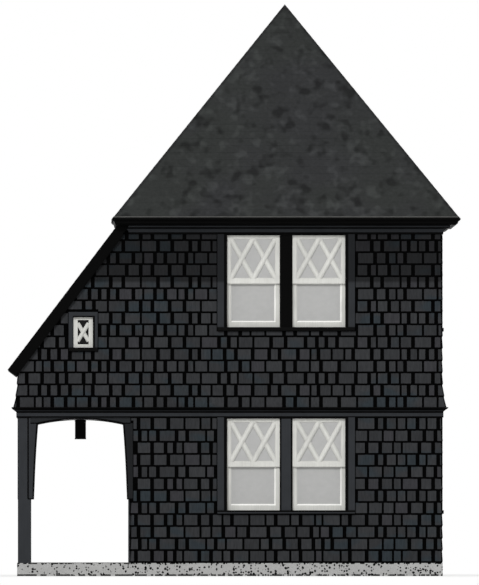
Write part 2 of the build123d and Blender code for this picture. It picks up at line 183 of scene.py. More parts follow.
class PorchSizes(bpy.types.PropertyGroup):
    """Sizes of the porch's small work"""

    board_width: length("Board width", "Width of a ceiling board", 0.092)
    board_depth: length("Board depth", "Thickness of a ceiling board", 0.008)
    board_groove: length("Groove", "Open joint between two ceiling boards", 0.006)
    bead_width: length("Bead width", "Width of the black bead beside a bracket", 0.022)
    bead_depth: length("Bead depth", "Thickness of that bead", 0.005)
    nosing: length("Nosing", "Width of the black nosing on arches and brackets", 0.018)
    nosing_depth: length("Nosing depth", "Thickness of that nosing", 0.008)
    knob_radius: length("Knob radius", "Radius of the door knob", 0.028)
    knob_inset: length("Knob inset", "How far the knob stands from the door's edge", 0.075)
    knob_drop: length("Knob drop", "How far the knob stands under the door's middle", 0.120)
    plate_width: length("Plate width", "Width of the door's lock plate", 0.055)
    plate_height: length("Plate height", "Height of the door's lock plate", 0.230)
    plate_depth: length("Plate depth", "Thickness of the door's lock plate", 0.004)
    hinge_width: length("Hinge width", "Width of a door hinge", 0.012)
    hinge_height: length("Hinge height", "Height of a door hinge", 0.100)
    hinge_depth: length("Hinge depth", "Thickness of a door hinge", 0.008)
    hinge_place: length("Hinge place", "How far the outer hinges stand from the door's ends", 0.250)
    rim: length("Lantern rim", "Height of the lantern's rims", 0.014)
    rim_reach: length("Rim reach", "How far the rims stand off the lantern", 0.005)


class StageSizes(bpy.types.PropertyGroup):
    """Camera, lamps and floor"""

    columns: number("Columns", "Width of the picture in pixels", 479.0)
    rows: number("Rows", "Height of the picture in pixels", 585.0)
    pixel: length("Pixel", "Real size of one picture pixel at the front wall", 0.01547)
    ground_row: number("Ground row", "Picture row of the ground", 576.0)
    middle_column: number("Middle column", "Picture column of the house's middle", 229.9)
    lens: number("Lens", "Focal length in millimetres, long enough to draw an elevation", 1400.0)
    sensor: number("Sensor", "Sensor size in millimetres", 36.0)
    stand_across: number("Stand across", "Where the camera stands: in line with the porch", -2.2)
    stand_height: number("Stand height", "Where the camera stands: level with the porch", 1.0)
    floor: length("Floor", "Width of the floor", 120.0)
    floor_white: number("Floor white", "Share of white in the floor beside the house", 0.65)
    fade_start: length("Fade start", "How far off the floor starts to fade to white", 4.5)
    fade_end: length("Fade end", "How far off the floor is white", 12.5)
    key: number("Key", "Strength of the front lamp", 1.6)
    back: number("Back", "Strength of the back lamp", 0.9)
    softness: number("Softness", "Angle that a lamp fills, in degrees", 12.0)
    ambient: number("Ambient", "Strength of the room's light", 0.58)


class HouseColours(bpy.types.PropertyGroup):
    """Colours of the house"""

    shingle_grey: colour("Shingle grey", "Common tone of the stain", "#2D2E30")
    shingle_light: colour("Shingle light", "Most worn tone of the stain", "#333436")
    shingle_blue: colour("Shingle blue", "Cold tone of the stain", "#2A3237")
    shingle_violet: colour("Shingle violet", "Rare, faintly violet tone of the stain", "#333336")
    # This black is also that of the shingles' butts, where it stands as painted shadow under each course
    paper: colour("Paper", "Building paper behind the joints", "#030303")
    roof: colour("Roof", "Common tone of the roof", "#2E302F")
    roof_cold: colour("Roof cold", "Cold tone of the roof", "#2E2F30")
    hip: colour("Hip caps", "Cap boards on the hips", "#272828")
    strip: colour("Eave strip", "Zinc strip along the eaves", "#4C4C4A")
    trim_black: colour("Trim black", "Crown, drip, sills and rake boards", "#030303")
    trim_grey: colour("Trim grey", "Belt, casings, cove and posts", "#2E3033")
    beam: colour("Beam", "Porch beams", "#212325")
    sash: colour("Sash", "White sashes and bars", "#D0D0CB")
    # Whiter paint on those beads, as a painted highlight
    bead_highlight: colour("Bead highlight", "Renewed beads of the lower panes", "#F4F4F0")
    pane: colour("Pane", "Obscured glass of the window pairs", "#AFAFAE")
    # The small windows' glass takes this near-black as painted shade of the dark room behind
    dark_pane: colour("Dark pane", "Clear glass of the small windows", "#060606")
    concrete: colour("Concrete", "Paste of the foundation", "#ABABAA")
    pebble: colour("Pebble", "Dark stones in the foundation", "#060606")
    ceiling: colour("Ceiling", "Porch ceiling", "#4A4C4E")
    door: colour("Door", "Entrance door", "#202326")
    boards: colour("Boards", "Bare floor boards", "#8C7150")
    timber: colour("Timber", "Rough timber inside", "#7A6246")
    iron: colour("Iron", "Lantern and door furniture", "#040404")
    floor: colour("Floor", "Floor of the stage", "#E2E2E1")


# Shared operations


def settings():
    """The sizes and colours that the operators read."""
    return bpy.context.scene.house


def add_node(tree, kind, inputs=None, **options):
    """Adds a node with its settings, and links or sets the inputs that are given."""
    node = tree.nodes.new(kind)
    for name, value in options.items():
        setattr(node, name, value)
    for name, value in (inputs or {}).items():
        if isinstance(value, bpy.types.NodeSocket):
            tree.links.new(value, node.inputs[name])
        else:
            node.inputs[name].default_value = value
    return node


def first_output(tree, kind, inputs=None, **options):
    """The first output of a node that is added."""
    return add_node(tree, kind, inputs, **options).outputs[0]


def maths(tree, operation, first, second, kind="Math"):
    """Two values put together, or two vectors where the kind is VectorMath."""
    return first_output(tree, f"ShaderNode{kind}", {0: first, 1: second}, operation=operation)


def remap(tree, value, low, high, start=0.3, end=0.7):
    """A value spread from one span to another, held at its ends."""
    inputs = {"Value": value, "From Min": start, "From Max": end, "To Min": low, "To Max": high}
    return first_output(tree, "ShaderNodeMapRange", inputs)


def axes(tree, vector):
    """The X, Y and Z of a vector."""
    return add_node(tree, "ShaderNodeSeparateXYZ", {0: vector}).outputs


def add_object(name, data):
    """Adds an object to the scene."""
    made = bpy.data.objects.new(name, data)
    bpy.context.scene.collection.objects.link(made)
    return made


def add_piece(name, mesh):
    """Adds a finished mesh as a piece of the house, on its body."""
    mesh.name = name
    piece = add_object(name, mesh)
    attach(piece, BODY)


def side_place(side):
    """The turn that carries a piece drawn on the front to a side."""
    return Matrix.Rotation(SIDE_TURNS[side], 4, "Z")


def node_corners(node):
    """The corners of a built node."""
    return [vert.co for vert in frame["nodes"][node].data.vertices]


def turned_copy(node, side):
    """A welded copy of a built node, with a side turned to the front."""
    work = bmesh.new()
    work.from_mesh(frame["nodes"][node].data)
    bmesh.ops.transform(work, matrix=side_place(side).inverted(), verts=work.verts)
    bmesh.ops.remove_doubles(work, verts=work.verts, dist=WELD)
    return work


def whole_box(boxes):
    """The box round some boxes."""
    lows, highs = zip(*boxes)
    low = Vector([min(corner[axis] for corner in lows) for axis in range(3)])
    high = Vector([max(corner[axis] for corner in highs) for axis in range(3)])
    return low, high


def solid_boxes(node, side="front"):
    """Boxes of the separate solids in a built node, with a side turned to the front."""
    work = turned_copy(node, side)
    boxes, seen = [], set()
    for start in work.verts:
        if start in seen:
            continue
        group, waiting = [], [start]
        seen.add(start)
        while waiting:
            vert = waiting.pop()
            group.append(vert.co.copy())
            for other in (edge.other_vert(vert) for edge in vert.link_edges):
                if other not in seen:
                    seen.add(other)
                    waiting.append(other)
        boxes.append(whole_box([(point, point) for point in group]))
    work.free()
    return boxes


def closed_mesh(name, work):
    """The mesh of a bmesh that is done with."""
    mesh = bpy.data.meshes.new(name)
    work.to_mesh(mesh)
    work.free()
    return mesh


def add_solid(name, work, finish_name, place=None):
    """Adds a bmesh, with its faces outwards, as a piece of one finish."""
    bmesh.ops.recalc_face_normals(work, faces=work.faces)
    if place:
        bmesh.ops.transform(work, matrix=place, verts=work.verts)
    mesh = closed_mesh(name, work)
    mesh.materials.append(finish(finish_name))
    add_piece(name, mesh)


def add_block(work, low, high, chamfer=0.0):
    """Adds a box to a bmesh, with its edges eased."""
    low, high = Vector(low), Vector(high)
    place = Matrix.Translation((low + high) / 2) @ Matrix.Diagonal((*(high - low), 1))
    made = bmesh.ops.create_cube(work, size=1, matrix=place)
    if chamfer:
        edges = {edge for vert in made["verts"] for edge in vert.link_edges}
        bmesh.ops.bevel(work, geom=list(edges), offset=chamfer, segments=1, affect="EDGES", profile=0.5)


def add_loft(work, rings, looped=False):
    """Joins rings of corners with faces, and closes both ends unless the last ring joins the first. Gives the
    corners."""
    rings = [[work.verts.new(corner) for corner in ring] for ring in rings]
    followers = rings[1:] + rings[:1] if looped else rings[1:]
    for first, second in zip(rings, followers):
        for corners in zip(first, first[1:] + first[:1], second[1:] + second[:1], second):
            work.faces.new(corners)
    if not looped:
        work.faces.new(rings[0][::-1])
        work.faces.new(rings[-1])
    return [corner for ring in rings for corner in ring]


def trim_mesh(mesh, planes, place):
    """Cuts away what lies outwards of each plane (point, normal), closes the cuts with end grain and moves
    the mesh."""
    end_grain = max(0, mesh.materials.find("tarred_end_grain"))
    work = bmesh.new()
    work.from_mesh(mesh)
    for point, normal in planes:
        parts = work.verts[:] + work.edges[:] + work.faces[:]
        cut = bmesh.ops.bisect_plane(
            work, geom=parts, dist=WELD / 10, plane_co=point, plane_no=normal, clear_outer=True
        )
        edges = [part for part in cut["geom_cut"] if isinstance(part, bmesh.types.BMEdge)]
        for closed in bmesh.ops.holes_fill(work, edges=edges, sides=0)["faces"]:
            closed.material_index = end_grain
    bmesh.ops.transform(work, matrix=place, verts=work.verts)
    work.to_mesh(mesh)
    work.free()


# Geometry node trees


def new_tree(name, sockets):
    """A geometry tree with its named inputs. Gives the tree and the outputs of its input node."""
    tree = bpy.data.node_groups.new(name, "GeometryNodeTree")
    tree.interface.new_socket("Geometry", in_out="OUTPUT", socket_type="NodeSocketGeometry")
    for socket, kind in {"Geometry": "Geometry", **sockets}.items():
        tree.interface.new_socket(socket, in_out="INPUT", socket_type=f"NodeSocket{kind}")
    return tree, add_node(tree, "NodeGroupInput").outputs


def grown_mesh(name, mesh, tree, values):
    """The plain mesh that a geometry tree makes from a mesh of places."""
    carrier = add_object(name, mesh)
    modifier = carrier.modifiers.new(tree.name, "NODES")
    modifier.node_group = tree
    for item in tree.interface.items_tree:
        if item.name in values:
            modifier[item.identifier] = values[item.name]
    grown = bpy.data.meshes.new_from_object(carrier.evaluated_get(bpy.context.evaluated_depsgraph_get()))
    carrier.modifiers.remove(modifier)
    bpy.data.objects.remove(carrier)
    bpy.data.meshes.remove(mesh)
    for helper in ("unit", "turn", "size"):
        if helper in grown.attributes:
            grown.attributes.remove(grown.attributes[helper])
    return grown


def shingle_tree():
    """Lays a tapered shingle with an undercut butt on each point, and gives each one its own tint. A point
    brings its shingle's turn and its width, thickness and height."""
    title = "Laid shingles"
    if title in bpy.data.node_groups:
        return bpy.data.node_groups[title]
    tree, given = new_tree(title, {
        "Undercut": "Float", "Lip": "Float", "Tip": "Float", "Seed": "Int",
        "Face": "Material", "Butt": "Material",
    })

    def named(name):
        node = add_node(tree, "GeometryNodeInputNamedAttribute", {"Name": name}, data_type="FLOAT_VECTOR")
        return node.outputs["Attribute"]

    def halves(start, middle, rise):
        """A measure that runs from start to middle in a shingle's lower half, and rises on in its upper."""
        lower = remap(tree, unit["Z"], start, middle, -0.5, 0)
        return maths(tree, "ADD", lower, remap(tree, unit["Z"], 0, rise, 0, 0.5))

    here = first_output(tree, "GeometryNodeInputPosition")
    cube = first_output(tree, "GeometryNodeMeshCube", {"Size": (1, 1, 1), "Vertices Z": 3})
    marked = first_output(tree, "GeometryNodeStoreNamedAttribute", {
        "Geometry": cube, "Name": "unit", "Value": here,
    }, data_type="FLOAT_VECTOR", domain="POINT")
    spread = {"Points": given["Geometry"], "Instance": marked}
    laid = first_output(tree, "GeometryNodeInstanceOnPoints", spread)
    drawn = {2: 0.0, 3: 1.0, "Seed": given["Seed"]}
    chance = add_node(tree, "FunctionNodeRandomValue", drawn, data_type="FLOAT").outputs[1]
    tinted = first_output(tree, "GeometryNodeStoreNamedAttribute", {
        "Geometry": laid, "Name": "tint", "Value": chance,
    }, data_type="FLOAT", domain="INSTANCE")
    real = first_output(tree, "GeometryNodeRealizeInstances", {"Geometry": tinted})

    unit, size = axes(tree, named("unit")), axes(tree, named("size"))
    level = halves(0, given["Undercut"], maths(tree, "SUBTRACT", size["Z"], given["Undercut"]))
    thick = halves(given["Lip"], size["Y"], maths(tree, "SUBTRACT", given["Tip"], size["Y"]))
    shape = first_output(tree, "ShaderNodeCombineXYZ", {
        "X": maths(tree, "MULTIPLY", unit["X"], size["X"]),
        "Y": maths(tree, "MULTIPLY", maths(tree, "SUBTRACT", unit["Y"], 0.5), thick),
        "Z": level,
    })
    turn = first_output(tree, "FunctionNodeEulerToRotation", {0: named("turn")})
    turned = first_output(tree, "FunctionNodeRotateVector", {0: shape, 1: turn})
    point = maths(tree, "SUBTRACT", here, named("unit"), "VectorMath")
    place = maths(tree, "ADD", point, turned, "VectorMath")
    shaped = first_output(tree, "GeometryNodeSetPosition", {"Geometry": real, "Position": place})
    facing = {"Geometry": shaped, "Material": given["Face"]}
    faced = first_output(tree, "GeometryNodeSetMaterial", facing)
    # Faces whose middle is under this level of the unit cube are the sloping butt. It is black, as end grain
    # and as painted shadow under each course
    butt_level = -0.1
    done = first_output(tree, "GeometryNodeSetMaterial", {
        "Geometry": faced, "Material": given["Butt"],
        "Selection": maths(tree, "LESS_THAN", unit["Z"], butt_level),
    })
    add_node(tree, "NodeGroupOutput", {"Geometry": done})
    return tree


def bar_tree():
    """Runs a flat bar along each edge, with its depth across the wall."""
    title = "Bars along lines"
    if title in bpy.data.node_groups:
        return bpy.data.node_groups[title]
    tree, given = new_tree(title, {"Width": "Float", "Depth": "Float", "Material": "Material"})
    lines = first_output(tree, "GeometryNodeMeshToCurve", {"Mesh": given["Geometry"]})
    upright = first_output(tree, "GeometryNodeSetCurveNormal", {"Curve": lines}, mode="Z_UP")
    section = first_output(tree, "GeometryNodeCurvePrimitiveQuadrilateral", {
        "Width": given["Depth"], "Height": given["Width"],
    })
    bars = first_output(tree, "GeometryNodeCurveToMesh", {
        "Curve": upright, "Profile Curve": section, "Fill Caps": True,
    })
    real = first_output(tree, "GeometryNodeRealizeInstances", {"Geometry": bars})
    done = first_output(tree, "GeometryNodeSetMaterial", {"Geometry": real, "Material": given["Material"]})
    add_node(tree, "NodeGroupOutput", {"Geometry": done})
    return tree


def add_bars(name, lines, width, depth, finish_name, side):
    """Adds bars along lines drawn on the front, joined where their ends meet, as one piece on a side."""
    work = bmesh.new()
    for line in lines:
        work.edges.new([work.verts.new(end) for end in line])
    bmesh.ops.remove_doubles(work, verts=work.verts, dist=WELD)
    bars = grown_mesh(name, closed_mesh(name, work), bar_tree(), {
        "Width": width, "Depth": depth, "Material": finish(finish_name),
    })
    bars.transform(side_place(side))
    add_piece(name, bars)


def add_shingles(name, places, sizes, seed, finishes, planes, move):
    """Adds shingles on their places (position, turn, size) as one piece, trimmed and moved. The finishes are
    those of the face and the butt."""
    mesh = bpy.data.meshes.new(name)
    mesh.from_pydata([place[0] for place in places], [], [])
    for index, attribute in ((1, "turn"), (2, "size")):
        layer = mesh.attributes.new(attribute, "FLOAT_VECTOR", "POINT")
        layer.data.foreach_set("vector", [value for place in places for value in place[index]])
    mesh = grown_mesh(name, mesh, shingle_tree(), {
        "Undercut": sizes.undercut, "Lip": sizes.lip, "Tip": sizes.tip, "Seed": seed,
        "Face": finish(finishes[0]), "Butt": finish(finishes[1]),
    })
    trim_mesh(mesh, planes, move)
    add_piece(name, mesh)


# Materials


def new_material(name, roughness, specular):
    """A material with a principled shader. Gives its tree and the shader."""
    material = bpy.data.materials.new(name)
    material.use_nodes = True
    tree = material.node_tree
    tree.nodes.clear()
    shader = add_node(tree, "ShaderNodeBsdfPrincipled", {
        "Roughness": roughness, "Specular IOR Level": specular,
    })
    add_node(tree, "ShaderNodeOutputMaterial", {"Surface": shader.outputs[0]})
    return tree, shader


def dress(tree, shader, shade, height, depth, strength, roughness=None):
    """Gives a shader its colour, its roughness where that varies, and bump from a height with its depth in
    metres."""
    bump = first_output(tree, "ShaderNodeBump", {"Height": height, "Distance": depth, "Strength": strength})
    for value, name in ((shade, "Base Color"), (bump, "Normal"), (roughness, "Roughness")):
        if value is not None:
            tree.links.new(value, shader.inputs[name])


def object_place(tree):
    return add_node(tree, "ShaderNodeTexCoord").outputs["Object"]


def object_axes(tree):
    return axes(tree, object_place(tree))


def own_tint(tree):
    """The number from 0 to 1 that a shingle carries."""
    return add_node(tree, "ShaderNodeAttribute", attribute_name="tint").outputs["Fac"]


def noise(tree, width, height, detail=3.0, along=None, shift=None):
    """Noise on object coordinates whose spots are about this wide and high, in metres."""
    where = object_place(tree)
    if shift:
        where = maths(tree, "ADD", where, shift, "VectorMath")
    scale = (1 / width, 1 / (along or width), 1 / height)
    place = first_output(tree, "ShaderNodeMapping", {"Vector": where, "Scale": scale})
    inputs = {"Vector": place, "Scale": 1.0, "Detail": detail, "Roughness": 0.6}
    return add_node(tree, "ShaderNodeTexNoise", inputs).outputs["Fac"]


def within(tree, value, low, high):
    """One where a value lies between two levels, and zero elsewhere."""
    inside = {0: value, 1: (low + high) / 2, 2: (high - low) / 2}
    return first_output(tree, "ShaderNodeMath", inside, operation="COMPARE")


def tone(tree, base, *shares):
    """A colour made lighter or darker by each share."""
    for share in shares:
        base = maths(tree, "MULTIPLY", base, share, "VectorMath")
    return base


def mixed(tree, share, *colours):
    """Two colours mixed by a share from 0 to 1."""
    inputs = {"Factor": share}
    for index, value in zip((6, 7), colours):
        inputs[index] = value if isinstance(value, bpy.types.NodeSocket) else (*value, 1.0)
    return add_node(tree, "ShaderNodeMix", inputs, data_type="RGBA").outputs[2]


def painted_eave_shadow(tree):
    """Painted shadow of the eaves: the share of their colour that stain and paint keep, less in a band under
    the eaves.
    """
    edge = SOFFIT_LEVEL - settings().wall.eave_shadow_depth
    # In the band, stain and paint keep this share of their colour, as painted shadow
    blur, eave_shadow_share = 20 * MM, 0.43
    return remap(tree, object_axes(tree)["Z"], 1.0, eave_shadow_share, edge - blur, edge + blur)


def stained_cedar(name):
    """Sawn cedar in dark stain: matt, with upright grain, and each shingle its own tone. Under the eaves the
    stain is darkened further, as painted shadow of the eaves."""
    # Grain is about a millimetre wide. It is drawn 22 mm wide, so that it shows in a view of the whole house.
    colours = settings().colours
    tree, shader = new_material(name, 0.85, 0.1)
    tint = own_tint(tree)
    grain = noise(tree, 0.022, 0.160, 4.0, shift=maths(tree, "MULTIPLY", tint, (31, 17, 9), "VectorMath"))
    region = noise(tree, 0.55, 0.30, 1.0)
    stain = mixed(tree, remap(tree, tint, 0, 1, 0.2, 0.8), colours.shingle_grey, colours.shingle_light)
    stain = mixed(tree, remap(tree, region, 0, 0.75, 0.52, 0.64), stain, colours.shingle_blue)
    stain = mixed(tree, maths(tree, "GREATER_THAN", tint, 0.9), stain, colours.shingle_violet)
    shade = tone(tree, stain, remap(tree, grain, 0.74, 1.16), painted_eave_shadow(tree))
    dress(tree, shader, shade, grain, 1.5 * MM, 0.5)


def black_tar_and_butt_shadow(name):
    """Tarred felt, and end grain soaked with stain: black, dull and slightly uneven. On the shingles' sloping
    butts the black also stands as painted shadow under each course.
    """
    tree, shader = new_material(name, 0.95, 0.02)
    waves = noise(tree, 0.030, 0.060)
    shade = tone(tree, settings().colours.paper, remap(tree, waves, 0.6, 1.5))
    dress(tree, shader, shade, waves, 1 * MM, 0.3)


def weathered_roof(name, role, cold_role):
    """Old roof shingles with soot and lichen: matt, mottled in soft dark and pale spots a hand wide, so that
    the courses hardly show."""
    colours = settings().colours
    tree, shader = new_material(name, 0.9, 0.1)
    soot = noise(tree, 0.200, 0.270, 1.0)
    lichen = noise(tree, 0.200, 0.270, 1.0, shift=(7, 3, 5))
    grit = noise(tree, 0.050, 0.045, 3.0)
    cloud = remap(tree, noise(tree, 1.300, 1.300, 1.0), 0, 1, 0.45, 0.65)
    shade = tone(
        tree, mixed(tree, cloud, getattr(colours, role), getattr(colours, cold_role)),
        remap(tree, soot, 0.50, 1.0, 0.30, 0.46), remap(tree, lichen, 1.0, 1.50, 0.54, 0.70),
        remap(tree, grit, 0.88, 1.12), remap(tree, own_tint(tree), 0.96, 1.04, 0, 1),
    )
    dress(tree, shader, shade, grit, 0.8 * MM, 0.2)


def painted(name, pick, roughness=0.5, specular=0.08):
    """Brushed oil paint on planed wood: satin, with faint brush marks up and down. The colour is picked in
    the node tree, so that one piece can have lines in a second colour."""
    # Brush marks are under a millimetre apart. They are drawn 12 mm apart, so that they show.
    tree, shader = new_material(name, roughness, specular)
    brush = noise(tree, 0.012, 0.240)
    cloud = noise(tree, 0.350, 0.350, 2.0)
    shade = tone(tree, pick(tree), remap(tree, brush, 0.93, 1.07), remap(tree, cloud, 0.92, 1.08))
    gloss = remap(tree, brush, roughness - 0.06, roughness + 0.10)
    dress(tree, shader, shade, brush, 0.4 * MM, 0.4, gloss)


def plain(role):
    """One paint colour all over a piece."""
    return lambda tree: getattr(settings().colours, role)


def banded(*bands):
    """Black trim paint, with bands (low, high, share) picked out in a share of the grey. The black between
    the bands also stands as painted shadow under mouldings.
    """
    def pick(tree):
        colours = settings().colours
        level = object_axes(tree)["Z"]
        paint = colours.trim_black
        for low, high, share in bands:
            grey = [share * part for part in colours.trim_grey]
            paint = mixed(tree, within(tree, level, low, high), paint, grey)
        return paint
    return pick


def casing_lines(tree):
    """Grey casing boards, with the set-back reveals in black as painted shade, and black sills. Those
    downstairs have a grey line. The band under the eaves takes painted eave shadow."""
    colours = settings().colours
    place = object_axes(tree)
    depth = first_output(tree, "ShaderNodeMath", {0: place["Y"]}, operation="ABSOLUTE")
    off_front = maths(tree, "SUBTRACT", depth, FRONT_FACE)
    off_right = maths(tree, "SUBTRACT", place["X"], HOUSE_RIGHT)
    out, slack = maths(tree, "MAXIMUM", off_front, off_right), 1 * MM
    # Only the casings' face is grey: the reveals set back behind it are black as painted shade
    boards = within(tree, out, slack, settings().window.casing + slack)
    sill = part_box("front_window_frames")[0].z
    sill_line = within(tree, place["Z"], sill + 8 * MM, sill + 24 * MM)
    grey = maths(tree, "MAXIMUM", boards, sill_line)
    # The band under the eaves takes the painted eave shadow
    return tone(tree, mixed(tree, grey, colours.trim_black, colours.trim_grey), painted_eave_shadow(tree))


def bracket_lines(tree):
    """Grey brackets on the posts, and darker ones in the shingles' shade against the wall."""
    wall_share = 0.3
    shade = remap(tree, object_axes(tree)["X"], 1.0, wall_share, HOUSE_LEFT, MAIN_LEFT)
    return tone(tree, settings().colours.trim_grey, shade)


def window_glass(name):
    """Obscured glass in the pairs, which scatters the daylight and reads as a pale sheet, and clear glass
    in the small windows, near-black as painted shade of the dark room behind.
    Both have a clear gloss in front."""
    colours = settings().colours
    tree, shader = new_material(name, 0.2, 0.14)
    wing = maths(tree, "LESS_THAN", object_axes(tree)["X"], MAIN_LEFT)
    pane = mixed(tree, wing, colours.pane, colours.dark_pane)
    ripple = noise(tree, 0.110, 0.090, 2.0)
    dress(tree, shader, tone(tree, pane, remap(tree, ripple, 0.97, 1.03)), ripple, 0.6 * MM, 0.1)


def pebble_concrete(name):
    """Cast concrete with dark pebbles at its face: pale, dull paste, black stones 15 to 30 mm across, and
    edges broken by damp."""
    colours = settings().colours
    tree, shader = new_material(name, 0.9, 0.2)
    where = object_place(tree)
    bend = add_node(tree, "ShaderNodeTexNoise", {"Vector": where, "Scale": 1 / 0.02}).outputs["Color"]
    bent = maths(tree, "ADD", where, tone(tree, bend, (0.018, 0.018, 0.018)), "VectorMath")
    cells = add_node(tree, "ShaderNodeTexVoronoi", {"Vector": bent, "Scale": 1 / 0.038}).outputs
    largest = remap(tree, axes(tree, cells["Color"])["X"], 0.05, 0.56, 0.38, 0.95)
    dark = maths(tree, "LESS_THAN", cells["Distance"], largest)
    level = object_axes(tree)["Z"]
    edges = ((0, 26 * MM, 0.07, 0.47), (FOUNDATION_TOP - 16 * MM, FOUNDATION_TOP, 0.05, 0.52))
    for low, high, width, sound in edges:
        worn = maths(tree, "GREATER_THAN", noise(tree, width, 0.50, 2.0), sound)
        dark = maths(tree, "MAXIMUM", dark, maths(tree, "MULTIPLY", within(tree, level, low, high), worn))
    grains, damp = noise(tree, 0.012, 0.012, 2.0), noise(tree, 0.6, 0.2)
    paste = tone(tree, colours.concrete, remap(tree, grains, 0.82, 1.16), remap(tree, damp, 0.94, 1.05))
    dress(tree, shader, mixed(tree, dark, paste, colours.pebble), dark, 1 * MM, 0.3)


def bare_wood(name, role):
    """Bare softwood: dull, with long grain along Y and the soft clouds of knots."""
    tree, shader = new_material(name, 0.7, 0.3)
    grain = noise(tree, 0.010, 0.010, along=0.300)
    knots = noise(tree, 0.14, 0.14)
    base = getattr(settings().colours, role)
    shade = tone(tree, base, remap(tree, grain, 0.80, 1.18), remap(tree, knots, 0.9, 1.1))
    dress(tree, shader, shade, grain, 0.5 * MM, 0.4)


def sheet_metal(name, role, roughness, specular):
    """Coated sheet metal: a hard skin, slightly uneven in gloss and tone."""
    tree, shader = new_material(name, roughness, specular)
    coat = noise(tree, 0.060, 0.020, 2.0)
    shade = tone(tree, getattr(settings().colours, role), remap(tree, coat, 0.85, 1.15))
    gloss = remap(tree, coat, roughness - 0.05, roughness + 0.08)
    dress(tree, shader, shade, coat, 0.3 * MM, 0.2, gloss)


def in_view(tree):
    """One for rays from the camera, and for those that metal or glass sends on."""
    path = add_node(tree, "ShaderNodeLightPath").outputs
    seen = maths(tree, "MAXIMUM", path["Is Camera Ray"], path["Is Glossy Ray"])
    return maths(tree, "MAXIMUM", seen, path["Is Transmission Ray"])


def pale_floor(name):
    """Matt floor under the house. To the camera it fades to white a few metres off."""
    sizes = settings().stage
    tree, shader = new_material(name, 0.9, 0.1)
    shader.inputs["Base Color"].default_value = (*settings().colours.floor, 1.0)
    white = first_output(tree, "ShaderNodeEmission", {"Color": WHITE, "Strength": 1.0})
    lengths = add_node(tree, "ShaderNodeVectorMath", {0: object_place(tree)}, operation="LENGTH")
    away = lengths.outputs["Value"]
    fade = remap(tree, away, sizes.floor_white, 1.0, sizes.fade_start, sizes.fade_end)
    share = maths(tree, "MULTIPLY", in_view(tree), fade)
    mix = first_output(tree, "ShaderNodeMixShader", {0: share, 1: shader.outputs[0], 2: white})
    tree.links.new(mix, tree.nodes["Material Output"].inputs["Surface"])


# Levels of the grey lines on the belt and on the eave, between black ones, and their shares of the grey.
# The black between them is two-tone paint, and also painted shadow under the mouldings
BELT_BANDS = [
    (BELT_BOTTOM + 18 * MM, BELT_BOTTOM + 67 * MM, 1.0),
    (BELT_BOTTOM + 95 * MM, BELT_BOTTOM + 111 * MM, 0.6),
]
EAVE_BANDS = [
    (CORNICE_BOTTOM + 30 * MM, CORNICE_BOTTOM + 82 * MM, 1.0),
    (CORNICE_BOTTOM + 107 * MM, CORNICE_BOTTOM + 129 * MM, 1.0),
]

# Finishes by the name of the real material: what makes each one, and what sets it apart
MAKERS = {
    "stained_cedar": (stained_cedar,),
    "tarred_end_grain": (black_tar_and_butt_shadow,),
    "tarred_felt": (black_tar_and_butt_shadow,),
    "weathered_roof_shingle": (weathered_roof, "roof", "roof_cold"),
    "weathered_hip_cap": (weathered_roof, "hip", "hip"),
    "eave_oil_paint": (painted, banded(*EAVE_BANDS), 0.5, 0.03),
    "belt_oil_paint": (painted, banded(*BELT_BANDS), 0.5, 0.03),
    "casing_oil_paint": (painted, casing_lines, 0.5, 0.05),
    "bracket_oil_paint": (painted, bracket_lines),
    "black_oil_paint": (painted, plain("trim_black"), 0.5, 0.03),
    "beam_oil_paint": (painted, plain("beam")),
    "grey_oil_paint": (painted, plain("trim_grey")),
    "white_oil_paint": (painted, plain("sash"), 0.4, 0.25),
    "fresh_white_oil_paint": (painted, plain("bead_highlight"), 0.4, 0.25),
    "ceiling_oil_paint": (painted, plain("ceiling")),
    "door_oil_paint": (painted, plain("door"), 0.35, 0.2),
    "obscured_window_glass": (window_glass,),
    "pebble_concrete": (pebble_concrete,),
    "bare_floor_boards": (bare_wood, "boards"),
    "rough_sawn_timber": (bare_wood, "timber"),
    "enamelled_iron": (sheet_metal, "iron", 0.35, 0.05),
    "zinc_strip": (sheet_metal, "strip", 0.5, 0.2),
    "pale_floor": (pale_floor,),
}


def finish(name):
    """A finish by its name, made the first time that it is asked for."""
    if name not in bpy.data.materials:
        maker, *values = MAKERS[name]
        maker(name, *values)
    return bpy.data.materials[name]


# Which finish each slot of the record takes, and the built pieces that differ
SLOT_FINISHES = {
    "concrete": "pebble_concrete",
    "floor_boards": "bare_floor_boards",
    "wall_shingles": "tarred_felt",
    "belt_paint": "belt_oil_paint",
    "eave_paint": "eave_oil_paint",
    "roof_shingles": "weathered_roof_shingle",
    "rough_timber": "rough_sawn_timber",
    "casing_paint": "casing_oil_paint",
    "sash_paint": "white_oil_paint",
    "window_glass": "obscured_window_glass",
    "porch_timber": "grey_oil_paint",
    "ceiling_boards": "ceiling_oil_paint",
    "lantern_iron": "enamelled_iron",
    "door_paint": "door_oil_paint",
}
NODE_FINISHES = {
    "rake_boards": "black_oil_paint",
    "door_frame": "grey_oil_paint",
    "porch_brackets": "bracket_oil_paint",
    "front_porch_beam": "beam_oil_paint",
    "side_porch_beam": "beam_oil_paint",
    "back_porch_beam": "beam_oil_paint",
}


class HOUSE_OT_paint_built(bpy.types.Operator):
    """Gives every built piece its finish"""

    bl_idname = "house.paint_built"
    bl_label = "Paint the built pieces"

    def execute(self, context):
        for entry in frame["record"]["subparts"]:
            node = entry["node"]
            wanted = NODE_FINISHES.get(node, SLOT_FINISHES[entry["material_slot"]])
            for place in frame["nodes"][node].material_slots:
                place.material = finish(wanted)
        return {"FINISHED"}


# Wall shingles


def course_levels(low, high, exposure):
    """Levels of the course lines, with a short last course joined to the one under it."""
    short_share = 0.3
    count = max(1, int((high - low) / exposure + 1 - short_share))
    return [low + index * exposure for index in range(count)] + [high]


